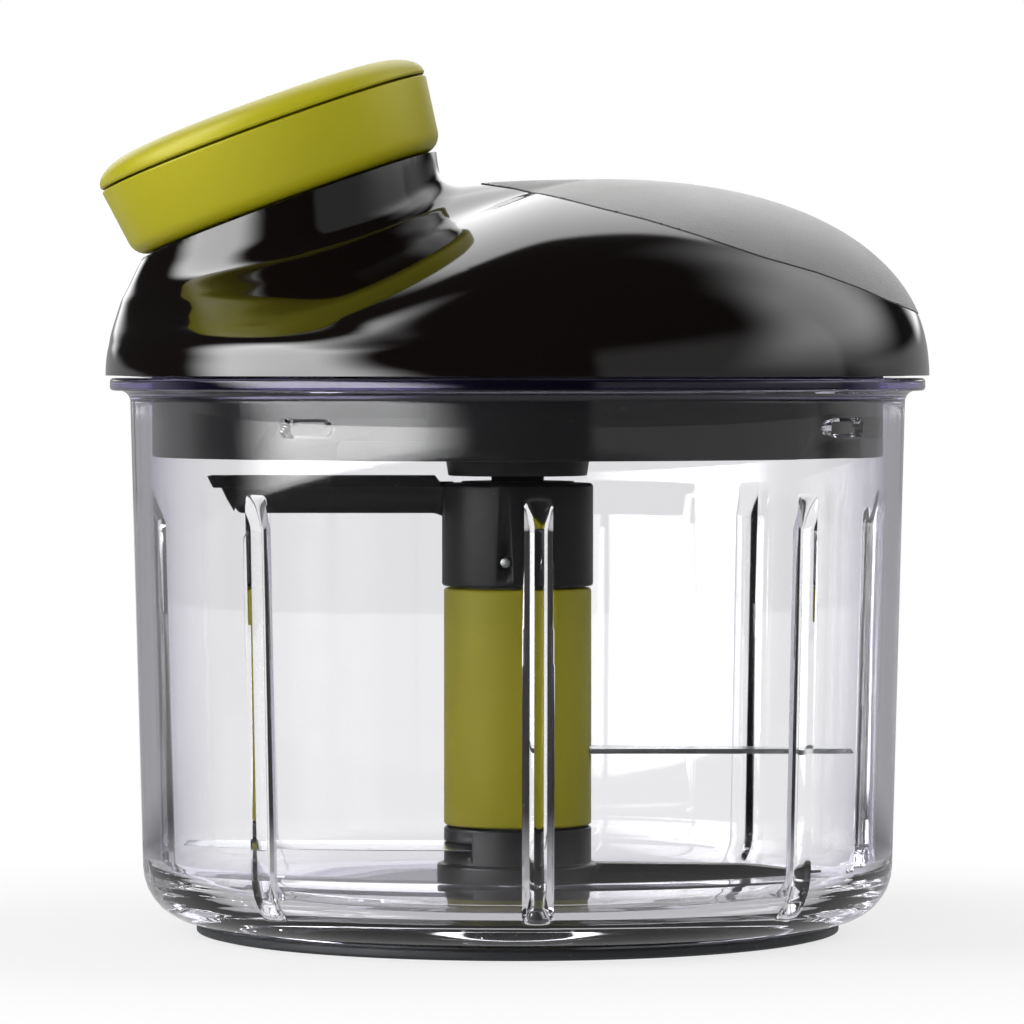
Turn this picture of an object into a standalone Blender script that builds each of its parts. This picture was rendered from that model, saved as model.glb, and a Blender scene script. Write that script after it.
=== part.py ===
# Pull-cord food chopper: a clear bowl, a bayonet lid that holds a cord reel, a disc handle on the lid's
# tilted neck and a blade column that turns on a pin in the bowl. Lengths are metres and +Z is up.
# The origin is the middle of the flat underside, the front faces -Y and the handle lies over -X.

import math

import bmesh
import bpy
from mathutils import Matrix, Vector

# Clearances
REST_GAP = 0.0003
RUN_GAP = 0.0006
OVERRUN = 0.002
WELD = 0.000001

# Facets
ROUND_STEPS = 32
MIDDLE_STEPS = 16
SMALL_STEPS = 8
CORNER_STEPS = 4
EDGE_STEPS = 1
HALF_ROUND_STEPS = 4
SHARP_ANGLE = 35

# Foot
FOOT_INSET = 0.0083
FOOT_LIP_WIDTH = 0.0014
FOOT_TREAD_HEIGHT = 0.0003
FOOT_LIP_HEIGHT = 0.0018
FOOT_PLUG_INSET = 0.0064
FOOT_PLUG_HEIGHT = 0.0036
FOOT_GROOVE_SHARES = (0.70, 0.84)
FOOT_GROOVE_WIDTH = 0.0014
FOOT_GROOVE_DEPTH = 0.0006

# Bowl
BOWL_TOP_RADIUS = 0.0619
BOWL_DRAFT = 0.0022
BOWL_HEIGHT = 0.0886
BOWL_WALL = 0.0026
BOWL_CORNER = 0.0088
FLANGE_WIDTH = 0.0032
FLANGE_THICKNESS = 0.0020
FLANGE_FILLET = 0.0016
EDGE_ROUNDING = 0.0004
RIB_COUNT = 8
RIB_FIRST_ANGLE = 3.0
RIB_WIDTH = 0.0043
RIB_PROJECTION = 0.0022
RIB_TOP_DROP = 0.0179
RIB_RUN_OUT = 0.0050
RIB_ROOT_SHARES = (0.5, 0.7)
LUG_COUNT = 4
LUG_FIRST_ANGLE = -32.5
LUG_DROP = 0.0076
LUG_LENGTH = 0.0090
LUG_THICKNESS = 0.0029
LUG_PROJECTION = 0.0022
PIVOT_BOSS_RADIUS = 0.0050
PIVOT_BOSS_HEIGHT = 0.0075
PIVOT_PIN_RADIUS = 0.0025
PIVOT_PIN_LENGTH = 0.0180
PIVOT_PIN_SEAT = 0.0082

# Blade column
COLUMN_FLOOR_GAP = 0.0006
CORE_RADIUS = 0.0080
CORE_WALL = 0.0022
BUSH_WALL = 0.0014
BUSH_LENGTH = 0.0110
SLEEVE_RADIUS = 0.0118
COLUMN_TOP_GAP = 0.0009
FLANGE_COLLAR_RADIUS = 0.0129
FLANGE_COLLAR_HEIGHT = 0.0040
COLLAR_LIP_HEIGHT = 0.0010
LOWER_COLLAR_HEIGHT = 0.0098
UPPER_COLLAR_RADIUS = 0.0121
UPPER_COLLAR_HEIGHT = 0.0164
UPPER_DISC_RADIUS = 0.0090
UPPER_DISC_HEIGHT = 0.0003
SOCKET_DEPTH = 0.0069
CROSS_PIN_RADIUS = 0.00085
CROSS_PIN_HEIGHT = 0.0040
CROSS_PIN_ANGLE = -9.5
SWEEPER_TIP_GAP = 0.0084
SWEEPER_WIDTH = 0.0070
SWEEPER_REACH_SHARES = (0.19, 0.72, 0.86, 0.94, 1.0)
SWEEPER_WIDTH_SHARES = (0.95, 0.77, 0.60, 0.43, 0.26)
SWEEPER_LOW_SHARES = (0.0, 0.12, 0.21, 0.28, 0.33)
SWEEPER_HIGH_SHARES = (1.0, 0.93, 0.84, 0.77, 0.64)
ARM_TIP_GAP = 0.0076
ARM_FLANGE_WIDTH = 0.0080
ARM_FLANGE_THICKNESS = 0.0019
ARM_RISE = 0.0012
ARM_WEB_HEIGHT = 0.0041
ARM_WEB_THICKNESS = 0.0024
ARM_TIP_SLANT = 0.0030
BLADE_TIP_GAP = 0.0031
BLADE_LEAD = 0.0094
BLADE_TRAIL = 0.0026
BLADE_THICKNESS = 0.0008
BLADE_EDGE = 0.00015
BLADE_BEVEL = 0.0022
BLADE_ROOT_SHARE = 0.14
BLADE_BELLY_SHARE = 0.72
BLADE_CURVE_STEPS = 7
LOWER_BLADE_HEIGHT = 0.0136
UPPER_BLADE_HEIGHT = 0.0286

# Seal
SEAL_THICKNESS = 0.0012
SEAL_WIDTH = 0.0026

# Lid shell
LID_OVERHANG = 0.0006
LID_GAP = 0.0004
LID_WALL = 0.0026
HUMP_RISE = 0.0316
HUMP_CENTRE = 0.0130
HUMP_EXPONENTS = ((0, 2.25), (60, 2.1), (100, 1.85), (140, 1.4), (160, 1.65), (180, 2.25))
HUMP_RINGS = 7
NECK_TILT = 20.0
NECK_INSET = 0.0293
NECK_TOP_RISE = 0.0276
NECK_RADIUS = 0.0249
NECK_WALL = 0.0023
NECK_EDGE = 0.0008
NECK_FOOT_INSET = 0.0005
NECK_FOOT_RISE = 0.0010
NECK_FLARE_RISE = 0.0194
NECK_RINGS = 6
PAD_DEPTH = 0.0012
PAD_START_X = -0.0060
PAD_START_DROP = 0.0010
PAD_END_INSET = 0.0012
PAD_END_RISE = 0.0109
LID_POST_COUNT = 3
LID_POST_FIRST_ANGLE = 30.0
LID_POST_INSET = 0.0157
LID_POST_RADIUS = 0.0036

# Lid base
PLATE_GAP = 0.0005
PLATE_THICKNESS = 0.0020
COLLAR_GAP = 0.0006
COLLAR_WALL = 0.0035
COLLAR_DEPTH = 0.0142
DRIVE_BOSS_RADIUS = 0.0116
DRIVE_BOSS_TIP_RADIUS = 0.0111
DRIVE_BOSS_DEPTH = 0.0032
HUB_RING_HEIGHT = 0.0012
HUB_RING_WIDTH = 0.0016
SPOOL_RING_RADIUS = 0.0136
SPOOL_RING_HEIGHT = 0.0007
SCREW_RING_DEPTH = 0.0030
SLOT_CLEARANCE = 0.0006
SLOT_LIFT = 0.00035
LOCK_ANGLE = 14.0
SLOT_RAMP = 0.0062
SLOT_RAMP_STEPS = 4
SLOT_RAMP_BOW_SHARE = 0.125

# Drive
SHAFT_RADIUS = 0.0060
DOG_WIDTH = 0.0084
DOG_THICKNESS = 0.0036
DOG_DEPTH = 0.0070
SPIGOT_SIZE = 0.0070
SPIGOT_HEIGHT = 0.0038
HUB_RADIUS = 0.0078
TONGUE_COUNT = 3
TONGUE_SWEEP = 75.0
TONGUE_THICKNESS = 0.0012
TONGUE_STEPS = 6

# Reel
SPOOL_FLANGE_RADIUS = 0.0182
SPOOL_FLANGE_THICKNESS = 0.0012
SPOOL_DRUM_RADIUS = 0.0145
SPOOL_WALL = 0.0018
SPOOL_HEIGHT = 0.0126
TOOTH_COUNT = 18
TOOTH_DEPTH = 0.0014
TOOTH_STEPS = 3
TOOTH_SLOPE_SHARE = 0.96
RATCHET_HEIGHT = 0.0072
SPOOL_WEB = 0.0016
ARBOR_RADIUS = 0.0042
ARBOR_LENGTH = 0.0108
CORD_RADIUS = 0.0008
CORD_PITCH = 0.0018
CORD_TURNS = 4
CORD_TURN_STEPS = 16
CORD_EXIT_HEIGHT = 0.0029
CORD_BEND_STEPS = 6
FRAME_WALL = 0.0016
FRAME_TOP = 0.0014
FRAME_WINDOW_SILL = 0.0022
FRAME_WINDOW_ANGLE = 56.0
EAR_RADIUS = 0.0032
EAR_THICKNESS = 0.0015
CASE_RADIUS = 0.0135
CASE_WALL = 0.0014
CASE_HEIGHT = 0.0052
SPRING_WIDTH = 0.0032
SPRING_THICKNESS = 0.0004
SPRING_TURNS = 4
SPRING_TURN_STEPS = 14

# Roller
ROLLER_PITCH_RADIUS = 0.0050
ROLLER_RIM_RADIUS = 0.0060
ROLLER_WIDTH = 0.0044
ROLLER_RIM_WIDTH = 0.0007
ROLLER_PIN_RADIUS = 0.0015
CHEEK_THICKNESS = 0.0016
CHEEK_HALF_WIDTH = 0.0034
CARRIER_FOOT_HEIGHT = 0.0018
CARRIER_FOOT_LENGTH = 0.0110

# Cord guide and handle, measured along the neck's axis from the neck's top
GUIDE_TOP = 0.0012
GUIDE_THICKNESS = 0.0018
GUIDE_SKIRT = 0.0068
GUIDE_SKIRT_WALL = 0.0016
EYELET_RADIUS = 0.0040
EYELET_DEPTH = 0.0018
EYELET_HOLE = 0.0014
CORD_SPLIT_DEPTH = 0.0070
HANDLE_GAP = 0.0004
HANDLE_BOTTOM_RADIUS = 0.0238
HANDLE_RADIUS = 0.0275
HANDLE_BOTTOM_ROUNDING = 0.0030
HANDLE_BOTTOM_FLARE_SHARE = 0.7
HANDLE_BASE_HEIGHT = 0.0117
HANDLE_WALL = 0.0021
HANDLE_SEAM = 0.0004
HANDLE_RING_RADIUS = 0.0180
HANDLE_RING_WIDTH = 0.0020
HANDLE_RING_DEPTH = 0.0009
HANDLE_BOSS_RADIUS = 0.0045
HANDLE_BOSS_HEIGHT = 0.0017
CAP_HEIGHT = 0.0043
CAP_EDGE = 0.0077
CAP_CROWN = 0.0003
CAP_PLUG_DEPTH = 0.0030
CAP_STEPS = 4
FERRULE_RADIUS = 0.0032
FERRULE_LENGTH = 0.0045
FERRULE_ROOF = 0.0010

# Screws
SCREW_HEAD_RADIUS = 0.0022
SCREW_HEAD_HEIGHT = 0.0014
SCREW_SHANK_RADIUS = 0.0010
LID_SCREW_LENGTH = 0.0080
FRAME_SCREW_LENGTH = 0.0052
HUB_SCREW_LENGTH = 0.0090

# Sizes that several pieces share
BOWL_BASE_RADIUS = BOWL_TOP_RADIUS - BOWL_DRAFT
FOOT_LIP_RADIUS = BOWL_BASE_RADIUS - FOOT_INSET
FOOT_TREAD_RADIUS = FOOT_LIP_RADIUS - FOOT_LIP_WIDTH
FOOT_PLUG_RADIUS = FOOT_LIP_RADIUS - FOOT_PLUG_INSET
FLANGE_RADIUS = BOWL_TOP_RADIUS + FLANGE_WIDTH
LID_RADIUS = FLANGE_RADIUS + LID_OVERHANG
PLATE_RADIUS = LID_RADIUS - LID_WALL - PLATE_GAP
LID_POST_CIRCLE = LID_RADIUS - LID_POST_INSET
RIB_TOP = BOWL_HEIGHT - RIB_TOP_DROP
LUG_HEIGHT = BOWL_HEIGHT - LUG_DROP
HUMP_TOP = BOWL_HEIGHT + HUMP_RISE
NECK_TOP_X = NECK_INSET - LID_RADIUS
NECK_TOP_HEIGHT = BOWL_HEIGHT + NECK_TOP_RISE
NECK_FLARE_START = BOWL_HEIGHT + NECK_FLARE_RISE
BOWL_BOTTOM = FOOT_LIP_HEIGHT + REST_GAP
FLOOR_TOP = FOOT_PLUG_HEIGHT + REST_GAP + BOWL_WALL
FLANGE_BOTTOM = BOWL_HEIGHT - FLANGE_THICKNESS
BOWL_INNER_BASE = BOWL_BASE_RADIUS - BOWL_WALL
BOWL_INNER_TOP = BOWL_TOP_RADIUS - BOWL_WALL
PIVOT_BOSS_TOP = FLOOR_TOP + PIVOT_BOSS_HEIGHT
COLUMN_BOTTOM = FLOOR_TOP + COLUMN_FLOOR_GAP
LOWER_COLLAR_TOP = COLUMN_BOTTOM + LOWER_COLLAR_HEIGHT
SLEEVE_BOTTOM = LOWER_COLLAR_TOP + REST_GAP
LID_BOTTOM = BOWL_HEIGHT + LID_GAP
PLATE_BOTTOM = BOWL_HEIGHT + REST_GAP + SEAL_THICKNESS + REST_GAP
PLATE_TOP = PLATE_BOTTOM + PLATE_THICKNESS
COLLAR_BOTTOM = PLATE_BOTTOM - COLLAR_DEPTH
BOWL_INNER_FLARE = BOWL_INNER_TOP - BOWL_INNER_BASE
COLLAR_RADIUS = BOWL_INNER_BASE + BOWL_INNER_FLARE * COLLAR_BOTTOM / BOWL_HEIGHT - COLLAR_GAP
COLLAR_INNER_RADIUS = COLLAR_RADIUS - COLLAR_WALL
DRIVE_BOSS_BOTTOM = COLLAR_BOTTOM - DRIVE_BOSS_DEPTH
COLUMN_TOP = DRIVE_BOSS_BOTTOM - COLUMN_TOP_GAP
UPPER_COLLAR_TOP = COLUMN_TOP - UPPER_DISC_HEIGHT
UPPER_COLLAR_BOTTOM = UPPER_COLLAR_TOP - UPPER_COLLAR_HEIGHT
SLEEVE_TOP = UPPER_COLLAR_BOTTOM - REST_GAP
SOCKET_BOTTOM = UPPER_COLLAR_TOP - SOCKET_DEPTH
BLADE_REACH = BOWL_INNER_BASE - BLADE_TIP_GAP
ARM_REACH = BOWL_INNER_BASE - ARM_TIP_GAP
SWEEPER_REACH = BOWL_INNER_BASE - SWEEPER_TIP_GAP
SHAFT_BORE = SHAFT_RADIUS + REST_GAP
HUB_RING_TOP = PLATE_TOP + HUB_RING_HEIGHT
HUB_BOTTOM = HUB_RING_TOP + REST_GAP
SPOOL_BOTTOM = PLATE_TOP + SPOOL_RING_HEIGHT + REST_GAP
SPOOL_TOP = SPOOL_BOTTOM + SPOOL_HEIGHT
TOOTH_ROOT_RADIUS = SPOOL_DRUM_RADIUS - SPOOL_WALL
TOOTH_TIP_RADIUS = TOOTH_ROOT_RADIUS - TOOTH_DEPTH
CORD_WIND_RADIUS = SPOOL_DRUM_RADIUS + REST_GAP + CORD_RADIUS
CORD_EXIT = SPOOL_BOTTOM + CORD_EXIT_HEIGHT
FRAME_INNER_RADIUS = SPOOL_FLANGE_RADIUS + RUN_GAP
FRAME_RADIUS = FRAME_INNER_RADIUS + FRAME_WALL
FRAME_BOTTOM = PLATE_TOP + REST_GAP
FRAME_UNDERSIDE = SPOOL_TOP + RUN_GAP
FRAME_HEIGHT = FRAME_UNDERSIDE + FRAME_TOP
EAR_CIRCLE = FRAME_RADIUS + SCREW_HEAD_RADIUS + REST_GAP
CASE_BOTTOM = FRAME_HEIGHT + REST_GAP
ARBOR_HOLE = ARBOR_RADIUS + RUN_GAP
GUIDE_RADIUS = NECK_RADIUS - NECK_WALL - REST_GAP
HANDLE_FLOOR_RADIUS = HANDLE_BOTTOM_RADIUS - HANDLE_WALL / 2
FERRULE_BOTTOM = HANDLE_GAP + HANDLE_WALL + HANDLE_BOSS_HEIGHT + REST_GAP

# The neck's frame: its origin is the middle of the neck's top and its Z axis is the pull direction.
NECK_FRAME = Matrix.Translation((NECK_TOP_X, 0, NECK_TOP_HEIGHT)) @ Matrix.Rotation(
    math.radians(-NECK_TILT), 4, "Y"
)
PULL_AXIS = (NECK_FRAME.to_3x3() @ Vector((0, 0, 1))).normalized()


def cord_corner():
    """The point where the cord's level run would meet the neck's axis."""
    fall = (NECK_TOP_HEIGHT - CORD_EXIT) / PULL_AXIS.z
    return Vector((NECK_TOP_X, 0, NECK_TOP_HEIGHT)) - PULL_AXIS * fall


def cord_level_direction():
    """The direction in which the cord leaves the reel, tangent to the winding."""
    distance = cord_corner().xy.length
    angle = math.asin(CORD_WIND_RADIUS / distance)
    return Vector((-math.cos(angle), -math.sin(angle), 0))


LEVEL = cord_level_direction()
CORNER = cord_corner()
REEL_TANGENT = CORNER - LEVEL * math.sqrt(CORNER.xy.length_squared - CORD_WIND_RADIUS**2)
ROLLER_AXIS = LEVEL.cross(PULL_AXIS).normalized()
ROLLER_TURN = LEVEL.angle(PULL_AXIS)
ROLLER_CENTRE = CORNER + (PULL_AXIS - LEVEL).normalized() * ROLLER_PITCH_RADIUS / math.cos(ROLLER_TURN / 2)
ROLLER_UP = ROLLER_AXIS.cross(LEVEL).normalized()


def clear_scene():
    for item in list(bpy.data.objects):
        bpy.data.objects.remove(item, do_unlink=True)


def finish(name, colour, roughness, metallic=0.0):
    """One Principled material, made once under its name."""
    if name in bpy.data.materials:
        return bpy.data.materials[name]
    material = bpy.data.materials.new(name)
    material.use_nodes = True
    shader = material.node_tree.nodes["Principled BSDF"]
    shader.inputs["Base Color"].default_value = (*colour, 1.0)
    shader.inputs["Roughness"].default_value = roughness
    shader.inputs["Metallic"].default_value = metallic
    material.diffuse_color = (*colour, 1.0)
    return material


def clear_plastic(name):
    material = finish(name, (0.80, 0.78, 0.88), 0.05)
    material.node_tree.nodes["Principled BSDF"].inputs["Transmission Weight"].default_value = 0.9
    return material


def add_object(name, mesh, material=None, parent=None):
    """Turns a finished bmesh into an object of its own."""
    bmesh.ops.recalc_face_normals(mesh, faces=mesh.faces)
    data = bpy.data.meshes.new(name)
    mesh.to_mesh(data)
    mesh.free()
    data.shade_smooth()
    data.set_sharp_from_angle(angle=math.radians(SHARP_ANGLE))
    item = bpy.data.objects.new(name, data)
    bpy.context.scene.collection.objects.link(item)
    if material:
        data.materials.append(material)
    if parent:
        item.parent = parent
    return item


def as_tool(item):
    item.hide_render = True
    item.display_type = "WIRE"
    return item


def combine(target, tool, operation):
    """Adds a Boolean to the target; the tool stays as a hidden guide."""
    modifier = target.modifiers.new(tool.name, "BOOLEAN")
    modifier.operation = operation
    modifier.solver = "EXACT"
    modifier.object = as_tool(tool)


def rounded(corners):
    """The points of a closed outline whose corners (x, y, radius) are rounded by arcs."""
    points = []
    for index, (x, y, radius) in enumerate(corners):
        here = Vector((x, y))
        if radius <= 0:
            points.append(here)
            continue
        before = (Vector(corners[index - 1][:2]) - here).normalized()
        after = (Vector(corners[(index + 1) % len(corners)][:2]) - here).normalized()
        half = before.angle(after) / 2
        centre = here + (before + after).normalized() * radius / math.sin(half)
        start = here + before * radius / math.tan(half) - centre
        end = here + after * radius / math.tan(half) - centre
        turn = math.pi - 2 * half
        steps = CORNER_STEPS if radius > 2 * EDGE_ROUNDING else EDGE_STEPS
        for step in range(steps + 1):
            part = turn * step / steps
            points.append(centre + (start * math.sin(turn - part) + end * math.sin(part)) / math.sin(turn))
    return points


def turned(name, corners, material=None, steps=ROUND_STEPS, parent=None):
    """Spins an outline of (radius, height, rounding) corners about the Z axis."""
    mesh = bmesh.new()
    points = rounded(corners)
    line = [mesh.verts.new((point.x, 0, point.y)) for point in points]
    edges = []
    for first, second in zip(line, line[1:] + line[:1]):
        if first.co.x > WELD or second.co.x > WELD:
            edges.append(mesh.edges.new((first, second)))
    axis = {"cent": (0, 0, 0), "axis": (0, 0, 1)}
    bmesh.ops.spin(mesh, geom=line + edges, angle=math.tau, steps=steps, use_duplicate=False, **axis)
    bmesh.ops.remove_doubles(mesh, verts=mesh.verts, dist=WELD)
    return add_object(name, mesh, material, parent)


def bridge(mesh, rings, closed=False):
    """Joins rings of points by quads and closes both ends, or joins the last ring to the first."""
    rows = [[mesh.verts.new(point) for point in ring] for ring in rings]
    pairs = list(zip(rows, rows[1:] + rows[:1])) if closed else list(zip(rows, rows[1:]))
    for low, high in pairs:
        for index in range(len(low)):
            mesh.faces.new((low[index - 1], low[index], high[index], high[index - 1]))
    if not closed:
        mesh.faces.new(rows[0])
        mesh.faces.new(rows[-1])


def lofted(name, rings, material=None, parent=None):
    mesh = bmesh.new()
    bridge(mesh, rings)
    return add_object(name, mesh, material, parent)


def plate(name, outline, low, high, material=None, parent=None, place=None):
    """Extrudes a flat outline from one height to another."""
    place = place or Matrix.Identity(4)
    rings = [[place @ Vector((point[0], point[1], height)) for point in outline] for height in (low, high)]
    return lofted(name, rings, material, parent)


def circle(radius, steps, centre=(0, 0)):
    turns = [math.tau * step / steps for step in range(steps)]
    return [(centre[0] + radius * math.cos(turn), centre[1] + radius * math.sin(turn)) for turn in turns]


def box_outline(length, width, angle=0.0, centre=(0, 0)):
    turn = Matrix.Rotation(math.radians(angle), 2)
    halves = ((-1, -1), (1, -1), (1, 1), (-1, 1))
    return [turn @ Vector((x * length / 2, y * width / 2)) + Vector(centre) for x, y in halves]


def from_front(angle, radius, height=0.0):
    """A point at an angle from the front, turning towards +X."""
    turn = math.radians(angle)
    return Vector((radius * math.sin(turn), -radius * math.cos(turn), height))


def polar(angle, radius, height=0.0):
    turn = math.radians(angle)
    return Vector((radius * math.cos(turn), radius * math.sin(turn), height))


def ring_angles(count, first):
    return [first + 360 * index / count for index in range(count)]


def screw(name, place, length, material):
    """A pan-head screw whose head rests on its place's origin and whose shank runs down from there."""
    corners = [
        (0, -length, 0),
        (SCREW_SHANK_RADIUS, -length, 0),
        (SCREW_SHANK_RADIUS, 0, 0),
        (SCREW_HEAD_RADIUS, 0, 0),
        (SCREW_HEAD_RADIUS, SCREW_HEAD_HEIGHT, EDGE_ROUNDING),
        (0, SCREW_HEAD_HEIGHT, 0),
    ]
    item = turned(name, corners, material, SMALL_STEPS)
    item.matrix_world = place
    return item


def hole(name, centre, radius, low, high):
    return as_tool(plate(name, circle(radius, SMALL_STEPS, centre), low, high))


def bowl_inner_radius(height):
    share = (height - FLOOR_TOP) / (BOWL_HEIGHT - FLOOR_TOP)
    return BOWL_INNER_BASE + BOWL_INNER_FLARE * share


def bowl_corner_height(radius):
    """The underside of the bowl's rounded corner at a radius."""
    across = max(0.0, radius - (BOWL_BASE_RADIUS - BOWL_CORNER))
    return BOWL_BOTTOM + BOWL_CORNER - math.sqrt(max(0.0, BOWL_CORNER**2 - across**2))


def rib_ring(angle, height, recess):
    """One level of an inner rib: a half circle that stands in from the wall, with its back in the wall."""
    wall = bowl_inner_radius(max(height, FLOOR_TOP))
    middle = wall - RIB_PROJECTION + RIB_WIDTH / 2 + recess
    points = []
    for step in range(HALF_ROUND_STEPS + 1):
        turn = math.pi * step / HALF_ROUND_STEPS
        reach = min(middle - math.sin(turn) * RIB_WIDTH / 2, wall + BOWL_WALL * RIB_ROOT_SHARES[0])
        points.append((reach, math.cos(turn) * RIB_WIDTH / 2))
    back = wall + BOWL_WALL * RIB_ROOT_SHARES[1]
    points += [(back, -RIB_WIDTH / 2), (back, RIB_WIDTH / 2)]
    outward = from_front(angle, 1)
    along = from_front(angle + 90, 1)
    ring = []
    for reach, side in points:
        level = height if height > FLOOR_TOP else bowl_corner_height(reach) + BOWL_WALL / 2
        ring.append(outward * reach + along * side + Vector((0, 0, level)))
    return ring


def lug_rings(angle):
    """A pill-shaped bayonet lug, from its face to its root in the wall."""
    outward = from_front(angle, 1)
    along = from_front(angle + 90, 1)
    wall = bowl_inner_radius(LUG_HEIGHT)
    half = (LUG_LENGTH - LUG_THICKNESS) / 2
    rings = []
    for reach in (wall - LUG_PROJECTION, wall + BOWL_WALL / 2):
        ring = []
        for side in (1, -1):
            for step in range(HALF_ROUND_STEPS + 1):
                turn = math.pi * step / HALF_ROUND_STEPS - math.pi / 2
                across = side * (half + math.cos(turn) * LUG_THICKNESS / 2)
                level = LUG_HEIGHT + side * math.sin(turn) * LUG_THICKNESS / 2
                ring.append(outward * reach + along * across + Vector((0, 0, level)))
        rings.append(ring)
    return rings


def make_bowl():
    pin_hole = PIVOT_PIN_RADIUS + REST_GAP
    corners = [
        (0, FOOT_PLUG_HEIGHT + REST_GAP, 0),
        (FOOT_PLUG_RADIUS + REST_GAP, FOOT_PLUG_HEIGHT + REST_GAP, 0),
        (FOOT_PLUG_RADIUS + REST_GAP, BOWL_BOTTOM, 0),
        (BOWL_BASE_RADIUS, BOWL_BOTTOM, BOWL_CORNER),
        (BOWL_TOP_RADIUS, FLANGE_BOTTOM, FLANGE_FILLET),
        (FLANGE_RADIUS, FLANGE_BOTTOM, EDGE_ROUNDING),
        (FLANGE_RADIUS, BOWL_HEIGHT, EDGE_ROUNDING),
        (BOWL_INNER_TOP, BOWL_HEIGHT, EDGE_ROUNDING),
        (BOWL_INNER_BASE, FLOOR_TOP, BOWL_CORNER - BOWL_WALL),
        (PIVOT_BOSS_RADIUS, FLOOR_TOP, 0),
        (PIVOT_BOSS_RADIUS, PIVOT_BOSS_TOP, 0),
        (pin_hole, PIVOT_BOSS_TOP, 0),
        (pin_hole, PIVOT_BOSS_TOP - PIVOT_PIN_SEAT, 0),
        (0, PIVOT_BOSS_TOP - PIVOT_PIN_SEAT, 0),
    ]
    bowl = turned("bowl", corners, clear_plastic("clear_lilac"))
    mesh = bmesh.new()
    for angle in ring_angles(RIB_COUNT, RIB_FIRST_ANGLE):
        straight = ((0, 0), (BOWL_CORNER + BOWL_BOTTOM, 0), (RIB_TOP - RIB_RUN_OUT, 0))
        levels = (*straight, (RIB_TOP, RIB_PROJECTION))
        bridge(mesh, [rib_ring(angle, height, recess) for height, recess in levels])
    for angle in ring_angles(LUG_COUNT, LUG_FIRST_ANGLE):
        bridge(mesh, lug_rings(angle))
    combine(bowl, add_object("bowl_ribs_and_lugs", mesh), "UNION")
    return bowl


def make_foot():
    corners = [(0, 0, 0)]
    for share in FOOT_GROOVE_SHARES:
        radius = FOOT_TREAD_RADIUS * share
        corners += [
            (radius - FOOT_GROOVE_WIDTH / 2, 0, 0),
            (radius, FOOT_GROOVE_DEPTH, 0),
            (radius + FOOT_GROOVE_WIDTH / 2, 0, 0),
        ]
    corners += [
        (FOOT_TREAD_RADIUS, 0, 0),
        (FOOT_TREAD_RADIUS, FOOT_TREAD_HEIGHT, 0),
        (FOOT_LIP_RADIUS, FOOT_TREAD_HEIGHT, 0),
        (FOOT_LIP_RADIUS, FOOT_LIP_HEIGHT, EDGE_ROUNDING),
        (FOOT_PLUG_RADIUS, FOOT_LIP_HEIGHT, 0),
        (FOOT_PLUG_RADIUS, FOOT_PLUG_HEIGHT, 0),
        (0, FOOT_PLUG_HEIGHT, 0),
    ]
    return turned("base_foot", corners, finish("foot_rubber", (0.010, 0.012, 0.016), 0.6))


def make_pivot_pin():
    bottom = PIVOT_BOSS_TOP - PIVOT_PIN_SEAT + REST_GAP
    corners = [
        (0, bottom, 0),
        (PIVOT_PIN_RADIUS, bottom, 0),
        (PIVOT_PIN_RADIUS, bottom + PIVOT_PIN_LENGTH, PIVOT_PIN_RADIUS / 2),
        (0, bottom + PIVOT_PIN_LENGTH, 0),
    ]
    return turned("pivot_pin", corners, steel(), SMALL_STEPS)


def steel():
    return finish("polished_steel", (0.62, 0.63, 0.64), 0.18, 1.0)


def dark_plastic():
    return finish("dark_plastic", (0.045, 0.045, 0.048), 0.42)


def inner_plastic():
    return finish("inner_plastic", (0.75, 0.75, 0.72), 0.5)


def green_plastic():
    return finish("green_plastic", (0.30, 0.30, 0.022), 0.38)


def make_blade_core():
    bottom = COLUMN_BOTTOM + COLLAR_LIP_HEIGHT + REST_GAP
    bush_radius = PIVOT_PIN_RADIUS + REST_GAP + BUSH_WALL + REST_GAP
    bush_top = PIVOT_BOSS_TOP + REST_GAP + BUSH_LENGTH + REST_GAP
    corners = [
        (PIVOT_BOSS_RADIUS + RUN_GAP, bottom, 0),
        (CORE_RADIUS, bottom, 0),
        (CORE_RADIUS, SOCKET_BOTTOM - REST_GAP, 0),
        (CORE_RADIUS - CORE_WALL, SOCKET_BOTTOM - REST_GAP, 0),
        (CORE_RADIUS - CORE_WALL, bush_top + CORE_WALL, 0),
        (0, bush_top + CORE_WALL, 0),
        (0, bush_top, 0),
        (bush_radius, bush_top, 0),
        (bush_radius, PIVOT_BOSS_TOP + REST_GAP, 0),
        (PIVOT_BOSS_RADIUS + RUN_GAP, PIVOT_BOSS_TOP + REST_GAP, 0),
    ]
    core = turned("blade_core", corners, inner_plastic(), MIDDLE_STEPS)
    pin_hole = cross_pin_solid("core_pin_hole", CROSS_PIN_RADIUS + REST_GAP, 2 * SLEEVE_RADIUS)
    combine(core, pin_hole, "DIFFERENCE")
    return core


def make_pivot_bush():
    bottom = PIVOT_BOSS_TOP + REST_GAP
    inner = PIVOT_PIN_RADIUS + REST_GAP
    corners = [
        (inner, bottom, 0),
        (inner + BUSH_WALL, bottom, 0),
        (inner + BUSH_WALL, bottom + BUSH_LENGTH, 0),
        (inner, bottom + BUSH_LENGTH, 0),
    ]
    return turned("pivot_bush", corners, finish("bush_bronze", (0.45, 0.30, 0.12), 0.35, 1.0), MIDDLE_STEPS)


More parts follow.
